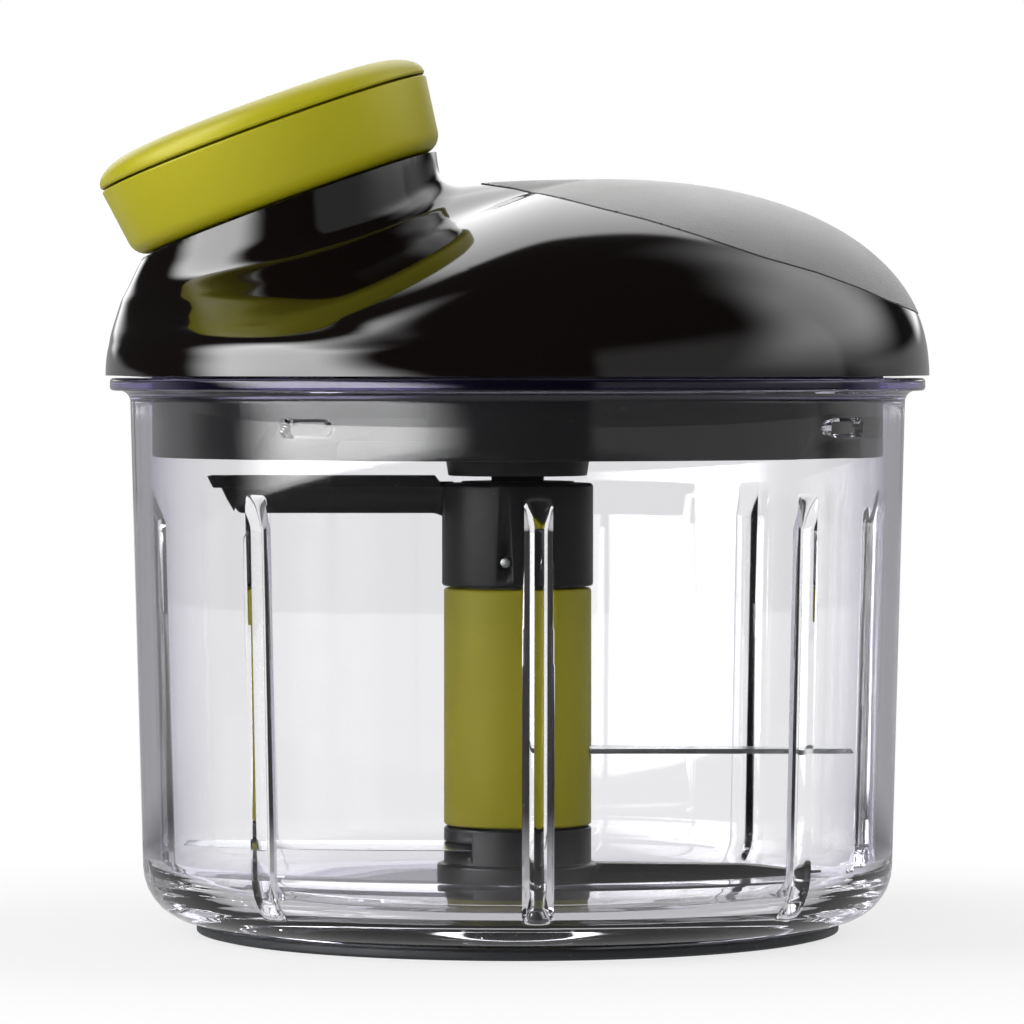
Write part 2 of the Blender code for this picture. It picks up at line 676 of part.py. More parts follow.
def cross_pin_solid(name, radius, length, material=None):
    """A bar across the column, square to the axis, near the bottom of the upper collar."""
    height = UPPER_COLLAR_BOTTOM + CROSS_PIN_HEIGHT
    along = from_front(CROSS_PIN_ANGLE, 1)
    across = from_front(CROSS_PIN_ANGLE + 90, 1)
    rings = []
    for reach in (-length / 2, length / 2):
        middle = along * reach + Vector((0, 0, height))
        rings.append([middle + across * x + Vector((0, 0, y)) for x, y in circle(radius, SMALL_STEPS)])
    return lofted(name, rings, material)


def blade_outline(grow):
    """Half of the blade pair seen from above: a straight back, a curved cutting edge and a narrow tip."""
    inner = CORE_RADIUS + REST_GAP - grow
    back = -BLADE_TRAIL - grow
    front = BLADE_LEAD + grow
    root = BLADE_REACH * BLADE_ROOT_SHARE
    start = math.asin(back / inner)
    end = math.acos(root / SLEEVE_RADIUS)
    points = []
    for step in range(BLADE_CURVE_STEPS + 1):
        turn = start + (end - start) * step / BLADE_CURVE_STEPS
        points.append(Vector((inner * math.cos(turn), inner * math.sin(turn))))
    points.reverse()
    tip = Vector((BLADE_REACH + grow, back + BLADE_TRAIL / 2))
    belly = Vector((BLADE_REACH * BLADE_BELLY_SHARE, front))
    heel = Vector((root, front))
    edge = []
    for step in range(BLADE_CURVE_STEPS + 1):
        share = step / BLADE_CURVE_STEPS
        edge.append(tip * (1 - share) ** 2 + belly * 2 * share * (1 - share) + heel * share**2)
    return points + [Vector((BLADE_REACH - BLADE_TRAIL / 4 + grow, back))], edge


def make_blade(name, height, angle):
    """A steel blade: a full outline below and a cutting edge ground from above."""
    back, edge = blade_outline(0)
    turn = Matrix.Rotation(math.radians(angle), 3, "Z")
    middle = Vector((BLADE_REACH * BLADE_ROOT_SHARE, -BLADE_TRAIL))
    rings = []
    for level, inset in ((0, 0), (BLADE_EDGE, 0), (BLADE_THICKNESS, BLADE_BEVEL)):
        moved = [point - Vector((inset * (point.x / BLADE_REACH) ** 2, inset)) for point in edge]
        moved = [Vector((max(point.x, middle.x), max(point.y, middle.y))) for point in moved]
        rings.append([turn @ Vector((point.x, point.y, height + level)) for point in back + moved])
    return lofted(name, rings, steel())


def blade_slot(name, height, angle):
    back, edge = blade_outline(REST_GAP)
    turn = Matrix.Rotation(math.radians(angle), 4, "Z")
    return plate(name, back + edge, height - REST_GAP, height + BLADE_THICKNESS + REST_GAP, place=turn)


def make_sleeve():
    corners = [
        (CORE_RADIUS + REST_GAP, SLEEVE_BOTTOM, 0),
        (SLEEVE_RADIUS, SLEEVE_BOTTOM, EDGE_ROUNDING),
        (SLEEVE_RADIUS, SLEEVE_TOP, EDGE_ROUNDING),
        (CORE_RADIUS + REST_GAP, SLEEVE_TOP, 0),
    ]
    sleeve = turned("grip_sleeve", corners, green_plastic(), MIDDLE_STEPS)
    combine(sleeve, blade_slot("upper_blade_slot", UPPER_BLADE_HEIGHT, 0), "DIFFERENCE")
    return sleeve


def sweeper_rings():
    """Cross-sections of the sweeper arm from its root in the flange to its rounded tip."""
    rings = []
    for reach_share, width_share, low_share, high_share in zip(
        SWEEPER_REACH_SHARES, SWEEPER_WIDTH_SHARES, SWEEPER_LOW_SHARES, SWEEPER_HIGH_SHARES
    ):
        reach = SWEEPER_REACH * reach_share
        half = SWEEPER_WIDTH / 2 * width_share
        low = COLUMN_BOTTOM + FLANGE_COLLAR_HEIGHT * low_share
        high = COLUMN_BOTTOM + FLANGE_COLLAR_HEIGHT * high_share
        bevel = (high - low) / 3
        outline = (
            (-half, low),
            (half, low),
            (half, high - bevel),
            (half - bevel / 2, high),
            (bevel - half, high),
            (-half, high - bevel),
        )
        rings.append([Vector((reach, side, level)) for side, level in outline])
    return rings


def make_lower_collar():
    lip_top = COLUMN_BOTTOM + COLLAR_LIP_HEIGHT
    flange_top = COLUMN_BOTTOM + FLANGE_COLLAR_HEIGHT
    corners = [
        (PIVOT_BOSS_RADIUS + RUN_GAP, COLUMN_BOTTOM, 0),
        (FLANGE_COLLAR_RADIUS, COLUMN_BOTTOM, EDGE_ROUNDING),
        (FLANGE_COLLAR_RADIUS, flange_top, EDGE_ROUNDING),
        (SLEEVE_RADIUS, flange_top, 0),
        (SLEEVE_RADIUS, LOWER_COLLAR_TOP, EDGE_ROUNDING),
        (CORE_RADIUS + REST_GAP, LOWER_COLLAR_TOP, 0),
        (CORE_RADIUS + REST_GAP, lip_top, 0),
        (PIVOT_BOSS_RADIUS + RUN_GAP, lip_top, 0),
    ]
    collar = turned("lower_collar", corners, dark_plastic(), MIDDLE_STEPS)
    arm = lofted("sweeper_arm", sweeper_rings())
    clearance = plate("sweeper_root_cut", circle(CORE_RADIUS + OVERRUN, MIDDLE_STEPS), 0, LOWER_COLLAR_TOP)
    combine(arm, clearance, "DIFFERENCE")
    combine(collar, arm, "UNION")
    combine(collar, blade_slot("lower_blade_slot", LOWER_BLADE_HEIGHT, 180), "DIFFERENCE")
    return collar


def arm_outline():
    """The upper arm seen from the front: a slanted tip and a slanted root gusset."""
    top = UPPER_COLLAR_TOP + ARM_RISE
    flange_bottom = top - ARM_FLANGE_THICKNESS
    web_bottom = flange_bottom - ARM_WEB_HEIGHT
    root = UPPER_COLLAR_RADIUS - OVERRUN
    flange = [
        (-root, flange_bottom),
        (-root, UPPER_COLLAR_TOP - EDGE_ROUNDING),
        (-UPPER_COLLAR_RADIUS, UPPER_COLLAR_TOP - EDGE_ROUNDING),
        (-UPPER_COLLAR_RADIUS - ARM_RISE, top),
        (-ARM_REACH, top),
        (-ARM_REACH + ARM_FLANGE_THICKNESS / 2, flange_bottom),
    ]
    web = [
        (-root, web_bottom - ARM_RISE),
        (-root, flange_bottom + ARM_FLANGE_THICKNESS / 2),
        (-ARM_REACH + ARM_TIP_SLANT / 2, flange_bottom + ARM_FLANGE_THICKNESS / 2),
        (-ARM_REACH + ARM_TIP_SLANT * 3 / 2, web_bottom),
        (-UPPER_COLLAR_RADIUS - ARM_RISE, web_bottom),
    ]
    return flange, web


def make_upper_collar():
    corners = [
        (0, SOCKET_BOTTOM, 0),
        (CORE_RADIUS + REST_GAP, SOCKET_BOTTOM, 0),
        (CORE_RADIUS + REST_GAP, UPPER_COLLAR_BOTTOM, 0),
        (UPPER_COLLAR_RADIUS, UPPER_COLLAR_BOTTOM, EDGE_ROUNDING),
        (UPPER_COLLAR_RADIUS, UPPER_COLLAR_TOP, EDGE_ROUNDING),
        (UPPER_DISC_RADIUS, UPPER_COLLAR_TOP, 0),
        (UPPER_DISC_RADIUS, COLUMN_TOP, 0),
        (0, COLUMN_TOP, 0),
    ]
    collar = turned("upper_collar", corners, dark_plastic(), MIDDLE_STEPS)
    upright = Matrix.Rotation(math.pi / 2, 4, "X")
    flange, web = arm_outline()
    half_flange = ARM_FLANGE_WIDTH / 2
    half_web = ARM_WEB_THICKNESS / 2
    arm = plate("arm_flange", flange, -half_flange, half_flange, place=upright)
    combine(arm, plate("arm_web", web, -half_web, half_web, place=upright), "UNION")
    combine(collar, arm, "UNION")
    for angle in (0, -LOCK_ANGLE):
        outline = box_outline(DOG_WIDTH + RUN_GAP, DOG_THICKNESS + RUN_GAP, angle)
        socket = plate(f"socket_{abs(angle):.0f}", outline, SOCKET_BOTTOM - OVERRUN, COLUMN_TOP + OVERRUN)
        combine(collar, socket, "DIFFERENCE")
    hole_length = 2 * UPPER_COLLAR_RADIUS + OVERRUN
    pin_hole = cross_pin_solid("collar_pin_hole", CROSS_PIN_RADIUS + REST_GAP, hole_length)
    combine(collar, pin_hole, "DIFFERENCE")
    return collar


def make_seal():
    middle = (BOWL_INNER_TOP + PLATE_RADIUS) / 2
    low = BOWL_HEIGHT + REST_GAP
    high = low + SEAL_THICKNESS
    corners = [
        (middle - SEAL_WIDTH / 2, low, 0),
        (middle + SEAL_WIDTH / 2, low, 0),
        (middle + SEAL_WIDTH / 2, high, 0),
        (middle - SEAL_WIDTH / 2, high, 0),
    ]
    return turned("seal_ring", corners, finish("seal_silicone", (0.55, 0.55, 0.55), 0.5))


def hump_exponent(angle):
    """How square the lid's meridian is at an angle from the hump's high end, eased between its stations."""
    folded = min(angle % 360, -angle % 360)
    for (low, first), (high, second) in zip(HUMP_EXPONENTS, HUMP_EXPONENTS[1:]):
        if folded <= high:
            share = (folded - low) / (high - low)
            eased = share * share * (3 - 2 * share)
            return first + (second - first) * eased
    return HUMP_EXPONENTS[-1][1]


def hump_reach(angle):
    """The distance from the hump's middle line to the lid's round rim."""
    turn = math.radians(angle)
    along = HUMP_CENTRE * math.cos(turn)
    return math.sqrt(LID_RADIUS**2 - HUMP_CENTRE**2 + along**2) - along


def make_hump(name, inset, skirt=0.0):
    """The lid's domed body, or the same body set in by a wall."""
    mesh = bmesh.new()
    rise = HUMP_TOP - LID_BOTTOM - inset
    angles = ring_angles(ROUND_STEPS, 0)
    rings = []
    for level in range(HUMP_RINGS):
        climb = math.pi / 2 * level / HUMP_RINGS
        ring = []
        for angle in angles:
            power = 2 / hump_exponent(angle)
            reach = (hump_reach(angle) - inset) * math.cos(climb) ** power
            height = LID_BOTTOM + rise * math.sin(climb) ** power
            ring.append(Vector((HUMP_CENTRE, 0, 0)) + polar(angle, reach, height))
        rings.append(ring)
    if skirt:
        rings.insert(0, [point - Vector((0, 0, skirt)) for point in rings[0]])
    bridge(mesh, rings)
    mesh.faces.ensure_lookup_table()
    top = mesh.faces[-1]
    bmesh.ops.poke(mesh, faces=[top])
    for vert in mesh.verts:
        if len(vert.link_edges) == len(angles) and vert.co.z > LID_BOTTOM + rise / 2:
            vert.co = Vector((HUMP_CENTRE, 0, LID_BOTTOM + rise))
    return add_object(name, mesh)


def make_neck(name, inset=0.0):
    """The tilted neck, whose rings level out and widen into the lid's rim, or its hollow inside."""
    rings = []
    turns = ring_angles(ROUND_STEPS, 0)
    foot_radius = LID_RADIUS - NECK_FOOT_INSET
    foot_height = LID_BOTTOM + NECK_FOOT_RISE
    for level in range(1, NECK_RINGS + 1):
        share = level / NECK_RINGS
        height = NECK_TOP_HEIGHT + (foot_height - NECK_TOP_HEIGHT) * share
        fall = min(1.0, max(0.0, (NECK_FLARE_START - height) / (NECK_FLARE_START - foot_height)))
        flare = fall * fall * (3 - 2 * fall)
        radius = NECK_RADIUS + (foot_radius - NECK_RADIUS) * flare - inset
        tilt = Matrix.Rotation(math.radians(-NECK_TILT * (1 - share) ** 2), 4, "Y")
        place = Matrix.Translation((NECK_TOP_X * (1 - flare), 0, height)) @ tilt
        rings.append([place @ polar(turn, radius) for turn in turns])
    if inset:
        rings.insert(0, [NECK_FRAME @ polar(turn, NECK_RADIUS - inset, OVERRUN) for turn in turns])
        drop = NECK_FOOT_RISE + OVERRUN / 2
        rings.append([point - Vector((0, 0, drop)) for point in rings[-1]])
    else:
        rings.insert(0, [NECK_FRAME @ polar(turn, NECK_RADIUS, -NECK_EDGE) for turn in turns])
        rings.insert(0, [NECK_FRAME @ polar(turn, NECK_RADIUS - NECK_EDGE) for turn in turns])
    return lofted(name, rings)


def pad_region(name, shrink):
    """The space above a slanted cut through the hump, seen from the side."""
    start = (PAD_START_X + shrink, HUMP_TOP - PAD_START_DROP + shrink)
    end = (LID_RADIUS - PAD_END_INSET, BOWL_HEIGHT + PAD_END_RISE + shrink)
    far = LID_RADIUS + OVERRUN
    ceiling = HUMP_TOP + OVERRUN * 2
    outline = [start, end, (far, end[1]), (far, ceiling), (start[0], ceiling)]
    upright = Matrix.Rotation(math.pi / 2, 4, "X")
    return plate(name, outline, -far, far, place=upright)


def make_lid_shell():
    shell = make_hump("lid_shell", 0)
    shell.data.materials.append(finish("gloss_lid", (0.006, 0.004, 0.004), 0.08))
    combine(shell, make_neck("neck_body"), "UNION")
    pocket = pad_region("pad_pocket", 0)
    combine(pocket, make_hump("pad_floor", PAD_DEPTH + REST_GAP), "DIFFERENCE")
    combine(shell, pocket, "DIFFERENCE")
    cavity = make_hump("lid_cavity", LID_WALL, OVERRUN)
    combine(cavity, make_neck("neck_cavity", LID_WALL), "UNION")
    for angle in ring_angles(LID_POST_COUNT, LID_POST_FIRST_ANGLE):
        outline = circle(LID_POST_RADIUS, SMALL_STEPS, polar(angle, LID_POST_CIRCLE))
        post = plate(f"lid_post_{angle:.0f}", outline, PLATE_BOTTOM, HUMP_TOP + OVERRUN)
        combine(cavity, post, "DIFFERENCE")
    combine(shell, cavity, "DIFFERENCE")
    seat_outline = circle(PLATE_RADIUS + REST_GAP, ROUND_STEPS)
    seat = plate("base_seat", seat_outline, LID_BOTTOM - OVERRUN, PLATE_TOP + REST_GAP)
    combine(shell, seat, "DIFFERENCE")
    bore_outline = circle(GUIDE_RADIUS + REST_GAP, ROUND_STEPS)
    bore = plate("neck_bore", bore_outline, -GUIDE_TOP - GUIDE_SKIRT - RUN_GAP, OVERRUN)
    bore.matrix_world = NECK_FRAME
    combine(shell, bore, "DIFFERENCE")
    for angle in ring_angles(LID_POST_COUNT, LID_POST_FIRST_ANGLE):
        centre = polar(angle, LID_POST_CIRCLE)
        top = PLATE_BOTTOM - REST_GAP + LID_SCREW_LENGTH + REST_GAP
        radius = SCREW_SHANK_RADIUS + REST_GAP
        pilot = hole(f"lid_pilot_{angle:.0f}", centre, radius, PLATE_TOP - OVERRUN, top)
        combine(shell, pilot, "DIFFERENCE")
    return shell


def make_grip_pad():
    pad = make_hump("grip_pad", 0)
    pad.data.materials.append(finish("soft_grip", (0.09, 0.09, 0.09), 0.75))
    combine(pad, pad_region("pad_space", REST_GAP), "INTERSECT")
    combine(pad, make_hump("pad_underside", PAD_DEPTH), "DIFFERENCE")
    return pad


def bayonet_columns():
    """The slot's height along the collar, as (distance, low, high): ramp, entry, then the level run."""
    below = COLLAR_BOTTOM - OVERRUN
    low = LUG_HEIGHT - LUG_THICKNESS / 2 - SLOT_LIFT
    high = LUG_HEIGHT + LUG_THICKNESS / 2 + SLOT_LIFT
    entry = LUG_LENGTH / 2 + SLOT_CLEARANCE
    travel = math.radians(LOCK_ANGLE) * COLLAR_RADIUS
    columns = []
    for step in range(SLOT_RAMP_STEPS + 1):
        share = step / SLOT_RAMP_STEPS
        bowed = share + math.sin(math.pi * share) * SLOT_RAMP_BOW_SHARE
        level = COLLAR_BOTTOM + (high - COLLAR_BOTTOM) * bowed
        columns.append((-entry - SLOT_RAMP * (1 - share), below, level + REST_GAP * (1 - share)))
    columns.append((entry, below, high))
    columns.append((entry + SLOT_CLEARANCE, low, high))
    columns.append((entry + travel, low, high))
    return columns


def bayonet_slot(mesh, angle):
    """A groove for one lug, cut into the collar from outside and not right through it."""
    inner = bowl_inner_radius(LUG_HEIGHT) - LUG_PROJECTION - RUN_GAP
    rings = []
    for distance, low, high in bayonet_columns():
        turn = angle + math.degrees(distance / COLLAR_RADIUS)
        outer = COLLAR_RADIUS + OVERRUN
        rings.append(
            [
                from_front(turn, inner, low),
                from_front(turn, outer, low),
                from_front(turn, outer, high),
                from_front(turn, inner, high),
            ]
        )
    bridge(mesh, rings)


def make_lid_base():
    ring = HUB_RING_WIDTH
    corners = [
        (SHAFT_BORE, DRIVE_BOSS_BOTTOM, 0),
        (DRIVE_BOSS_TIP_RADIUS, DRIVE_BOSS_BOTTOM, 0),
        (DRIVE_BOSS_RADIUS, COLLAR_BOTTOM, 0),
        (DRIVE_BOSS_RADIUS, PLATE_BOTTOM, 0),
        (EAR_CIRCLE - EAR_RADIUS, PLATE_BOTTOM, 0),
        (EAR_CIRCLE - EAR_RADIUS, PLATE_BOTTOM - SCREW_RING_DEPTH, 0),
        (EAR_CIRCLE + EAR_RADIUS, PLATE_BOTTOM - SCREW_RING_DEPTH, 0),
        (EAR_CIRCLE + EAR_RADIUS, PLATE_BOTTOM, 0),
        (COLLAR_INNER_RADIUS, PLATE_BOTTOM, 0),
        (COLLAR_INNER_RADIUS, COLLAR_BOTTOM, 0),
        (COLLAR_RADIUS, COLLAR_BOTTOM, EDGE_ROUNDING),
        (COLLAR_RADIUS, PLATE_BOTTOM, 0),
        (PLATE_RADIUS, PLATE_BOTTOM, 0),
        (PLATE_RADIUS, PLATE_TOP, 0),
        (SPOOL_RING_RADIUS + ring / 2, PLATE_TOP, 0),
        (SPOOL_RING_RADIUS + ring / 2, PLATE_TOP + SPOOL_RING_HEIGHT, 0),
        (SPOOL_RING_RADIUS - ring / 2, PLATE_TOP + SPOOL_RING_HEIGHT, 0),
        (SPOOL_RING_RADIUS - ring / 2, PLATE_TOP, 0),
        (SHAFT_BORE + ring, PLATE_TOP, 0),
        (SHAFT_BORE + ring, HUB_RING_TOP, 0),
        (SHAFT_BORE, HUB_RING_TOP, 0),
    ]
    base = turned("lid_base", corners, dark_plastic())
    mesh = bmesh.new()
    for angle in ring_angles(LUG_COUNT, LUG_FIRST_ANGLE):
        bayonet_slot(mesh, angle)
    combine(base, add_object("bayonet_slots", mesh), "DIFFERENCE")
    pilot = SCREW_SHANK_RADIUS + REST_GAP
    for angle in ring_angles(LID_POST_COUNT, LID_POST_FIRST_ANGLE):
        centre = polar(angle, LID_POST_CIRCLE)
        low = PLATE_BOTTOM - OVERRUN
        through = hole(f"base_hole_{angle:.0f}", centre, pilot, low, PLATE_TOP + OVERRUN)
        combine(base, through, "DIFFERENCE")
    for angle in ear_angles():
        bottom = FRAME_BOTTOM + EAR_THICKNESS - FRAME_SCREW_LENGTH
        blind = hole(f"ear_pilot_{angle:.0f}", polar(angle, EAR_CIRCLE), pilot, bottom, PLATE_TOP + OVERRUN)
        combine(base, blind, "DIFFERENCE")
    return base


def window_angle():
    """The direction from the axis in which the cord leaves the frame."""
    run = math.sqrt(FRAME_RADIUS**2 - CORD_WIND_RADIUS**2)
    point = REEL_TANGENT + LEVEL * run
    return math.degrees(math.atan2(point.y, point.x))


def ear_angles():
    return ring_angles(3, window_angle() + 60)


def make_frame():
    corners = [
        (FRAME_INNER_RADIUS, FRAME_BOTTOM, 0),
        (FRAME_RADIUS, FRAME_BOTTOM, 0),
        (FRAME_RADIUS, FRAME_HEIGHT, 0),
        (ARBOR_HOLE, FRAME_HEIGHT, 0),
        (ARBOR_HOLE, FRAME_UNDERSIDE, 0),
        (FRAME_INNER_RADIUS, FRAME_UNDERSIDE, 0),
    ]
    frame = turned("mechanism_frame", corners, inner_plastic(), MIDDLE_STEPS)
    for angle in ear_angles():
        centre = polar(angle, EAR_CIRCLE)
        outline = circle(EAR_RADIUS, SMALL_STEPS, centre)
        ear = plate(f"ear_{angle:.0f}", outline, FRAME_BOTTOM, FRAME_BOTTOM + EAR_THICKNESS)
        combine(frame, ear, "UNION")
    for angle in ear_angles():
        through = hole(
            f"ear_hole_{angle:.0f}",
            polar(angle, EAR_CIRCLE),
            SCREW_SHANK_RADIUS + REST_GAP,
            FRAME_BOTTOM - OVERRUN,
            FRAME_BOTTOM + EAR_THICKNESS + OVERRUN,
        )
        combine(frame, through, "DIFFERENCE")
    sill = FRAME_BOTTOM + FRAME_WINDOW_SILL
    head = FRAME_UNDERSIDE - FRAME_TOP
    for angle in ring_angles(3, window_angle()):
        rings = []
        for side in (-FRAME_WINDOW_ANGLE / 2, FRAME_WINDOW_ANGLE / 2):
            low = polar(angle + side, FRAME_INNER_RADIUS - OVERRUN, sill)
            high = polar(angle + side, FRAME_INNER_RADIUS - OVERRUN, head)
            out = (FRAME_RADIUS + OVERRUN) / math.cos(math.radians(side))
            rings.append([low, high, polar(angle + side, out, head), polar(angle + side, out, sill)])
        combine(frame, lofted(f"window_{angle:.0f}", rings), "DIFFERENCE")
    return frame


def tooth_outline():
    """The reel's inner saw teeth: each falls slowly inwards and steps back out."""
    points = []
    pitch = 360 / TOOTH_COUNT
    for tooth in range(TOOTH_COUNT):
        for step in range(TOOTH_STEPS + 1):
            share = step / TOOTH_STEPS
            radius = TOOTH_ROOT_RADIUS - TOOTH_DEPTH * share
            points.append(polar(pitch * (tooth + share * TOOTH_SLOPE_SHARE), radius).xy)
    return points


def make_spool():
    flange = SPOOL_FLANGE_THICKNESS
    web = SPOOL_BOTTOM + RATCHET_HEIGHT
    corners = [
        (TOOTH_TIP_RADIUS - TOOTH_DEPTH, SPOOL_BOTTOM, 0),
        (SPOOL_FLANGE_RADIUS, SPOOL_BOTTOM, 0),
        (SPOOL_FLANGE_RADIUS, SPOOL_BOTTOM + flange, 0),
        (SPOOL_DRUM_RADIUS, SPOOL_BOTTOM + flange, 0),
        (SPOOL_DRUM_RADIUS, SPOOL_TOP - flange, 0),
        (SPOOL_FLANGE_RADIUS, SPOOL_TOP - flange, 0),
        (SPOOL_FLANGE_RADIUS, SPOOL_TOP, 0),
        (TOOTH_ROOT_RADIUS, SPOOL_TOP, 0),
        (TOOTH_ROOT_RADIUS, web + SPOOL_WEB, 0),
        (ARBOR_RADIUS, web + SPOOL_WEB, 0),
        (ARBOR_RADIUS, web + SPOOL_WEB + ARBOR_LENGTH, 0),
        (0, web + SPOOL_WEB + ARBOR_LENGTH, 0),
        (0, web, 0),
        (TOOTH_TIP_RADIUS - TOOTH_DEPTH, web, 0),
    ]
    spool = turned("spool", corners, green_plastic(), MIDDLE_STEPS)
    teeth = plate("ratchet_teeth", tooth_outline(), SPOOL_BOTTOM - OVERRUN, web)
    combine(spool, teeth, "DIFFERENCE")
    return spool


def tube(name, points, radius, material, resolution=1):
    curve = bpy.data.curves.new(name, "CURVE")
    curve.dimensions = "3D"
    curve.bevel_depth = radius
    curve.bevel_resolution = resolution
    curve.use_fill_caps = True
    line = curve.splines.new("POLY")
    line.points.add(len(points) - 1)
    for target, point in zip(line.points, points):
        target.co = (*point, 1)
    curve.materials.append(material)
    item = bpy.data.objects.new(name, curve)
    bpy.context.scene.collection.objects.link(item)
    return item


def cord_material():
    return finish("cord_nylon", (0.80, 0.80, 0.78), 0.6)


def make_winding():
    """The cord on the reel, one layer that climbs from where the cord leaves."""
    start = math.atan2(REEL_TANGENT.y, REEL_TANGENT.x)
    lead = LEVEL * (REST_GAP / 2)
    points = []
    count = CORD_TURNS * CORD_TURN_STEPS
    for step in range(count + 1):
        turn = start - math.tau * step / CORD_TURN_STEPS
        height = CORD_EXIT + CORD_PITCH * step / CORD_TURN_STEPS
        points.append(polar(math.degrees(turn), CORD_WIND_RADIUS, height))
    points[0] = points[0] - lead
    return tube("cord_winding", points, CORD_RADIUS, cord_material())


def make_cord_run():
    """The cord from the reel, round the roller and up the neck's axis."""
    tangent = ROLLER_PITCH_RADIUS * math.tan(ROLLER_TURN / 2)
    points = [REEL_TANGENT + LEVEL * (REST_GAP / 2)]
    straight = (CORNER - LEVEL * tangent) - points[0]
    for share in (1 / 3, 2 / 3):
        points.append(points[0] + straight * share)
    for step in range(CORD_BEND_STEPS + 1):
        turn = ROLLER_TURN * step / CORD_BEND_STEPS
        spoke = LEVEL * math.sin(turn) - ROLLER_UP * math.cos(turn)
        points.append(ROLLER_CENTRE + spoke * ROLLER_PITCH_RADIUS)
    top = NECK_FRAME @ Vector((0, 0, -CORD_SPLIT_DEPTH - REST_GAP / 2))
    points.append(top)
    return tube("cord_run", points, CORD_RADIUS, cord_material())


def make_pull_cord(parent):
    low = -CORD_SPLIT_DEPTH + REST_GAP / 2
    high = FERRULE_BOTTOM + FERRULE_LENGTH - FERRULE_ROOF - REST_GAP
    points = [Vector((0, 0, low + (high - low) * share)) for share in (0, 1 / 3, 2 / 3, 1)]
    cord = tube("pull_cord", points, CORD_RADIUS, cord_material())
    cord.parent = parent
    return cord


def make_spring_case():
    top = CASE_BOTTOM + CASE_HEIGHT
    corners = [
        (CASE_RADIUS - CASE_WALL, CASE_BOTTOM, 0),
        (CASE_RADIUS, CASE_BOTTOM, 0),
        (CASE_RADIUS, top, EDGE_ROUNDING * 2),
        (ARBOR_HOLE, top, 0),
        (ARBOR_HOLE, top - CASE_WALL, 0),
        (CASE_RADIUS - CASE_WALL, top - CASE_WALL, 0),
    ]
    return turned("spring_case", corners, inner_plastic(), MIDDLE_STEPS)


def make_recoil_spring():
    """A flat spiral strip between the arbor and the case's wall."""
    inner = ARBOR_HOLE + SPRING_THICKNESS
    outer = CASE_RADIUS - CASE_WALL - REST_GAP - SPRING_THICKNESS
    low = CASE_BOTTOM + REST_GAP
    count = SPRING_TURNS * SPRING_TURN_STEPS
    rings = []
    for step in range(count + 1):
        share = step / count
        radius = inner + (outer - inner) * share
        angle = 360 * step / SPRING_TURN_STEPS
        half = SPRING_THICKNESS / 2
        rings.append(
            [
                polar(angle, radius - half, low),
                polar(angle, radius + half, low),
                polar(angle, radius + half, low + SPRING_WIDTH),
                polar(angle, radius - half, low + SPRING_WIDTH),
            ]
        )
    return lofted("recoil_spring", rings, steel())


def make_drive_shaft():
    bottom = DRIVE_BOSS_BOTTOM + REST_GAP
    seat = HUB_BOTTOM
    corners = [
        (0, bottom, 0),
        (SHAFT_RADIUS, bottom, 0),
        (SHAFT_RADIUS, seat, 0),
        (0, seat, 0),
    ]
    shaft = turned("drive_shaft", corners, dark_plastic(), MIDDLE_STEPS)
    dog = plate("dog", box_outline(DOG_WIDTH, DOG_THICKNESS), bottom - DOG_DEPTH, bottom + OVERRUN)
    spigot = plate("spigot", box_outline(SPIGOT_SIZE, SPIGOT_SIZE), seat - OVERRUN, seat + SPIGOT_HEIGHT)
    combine(shaft, dog, "UNION")
    combine(shaft, spigot, "UNION")
    head = seat + SPIGOT_HEIGHT + REST_GAP
    low = head - HUB_SCREW_LENGTH - REST_GAP
    pilot = hole("shaft_pilot", (0, 0), SCREW_SHANK_RADIUS + REST_GAP, low, head + OVERRUN)
    combine(shaft, pilot, "DIFFERENCE")
    return shaft


def tongue_outline(first):
    """A spring tongue that trails back from the hub and widens out to its tip in a tooth."""
    inner, outer = [], []
    tip_radius = TOOTH_ROOT_RADIUS - REST_GAP * 2
    root_radius = HUB_RADIUS
    for step in range(TONGUE_STEPS + 1):
        share = step / TONGUE_STEPS
        angle = first + TONGUE_SWEEP * (1 - share)
        middle = root_radius + (tip_radius - root_radius) * share
        outer.append(polar(angle, middle).xy)
        inner.append(polar(angle, middle - TONGUE_THICKNESS).xy)
    return outer + inner[::-1]


def make_ratchet_hub():
    bottom = HUB_BOTTOM
    top = HUB_BOTTOM + SPIGOT_HEIGHT
    hub = plate("ratchet_hub", circle(HUB_RADIUS, MIDDLE_STEPS), bottom, top, green_plastic())
    tooth_gap = math.degrees(REST_GAP / TOOTH_ROOT_RADIUS) * 2
    for angle in ring_angles(TONGUE_COUNT, tooth_gap):
        tongue = plate(f"tongue_{angle:.0f}", tongue_outline(angle), bottom + REST_GAP, top - REST_GAP)
        combine(hub, tongue, "UNION")
    size = SPIGOT_SIZE + 2 * REST_GAP
    combine(hub, plate("hub_square", box_outline(size, size), bottom - OVERRUN, top + OVERRUN), "DIFFERENCE")
    return hub


def roller_frame():
    """The roller's frame: Z is its axis, X runs with the cord's level run."""
    place = Matrix.Identity(4)
    for column, axis in enumerate((LEVEL, ROLLER_UP, ROLLER_AXIS)):
        for row in range(3):
            place[row][column] = axis[row]
    place.translation = ROLLER_CENTRE
    return place


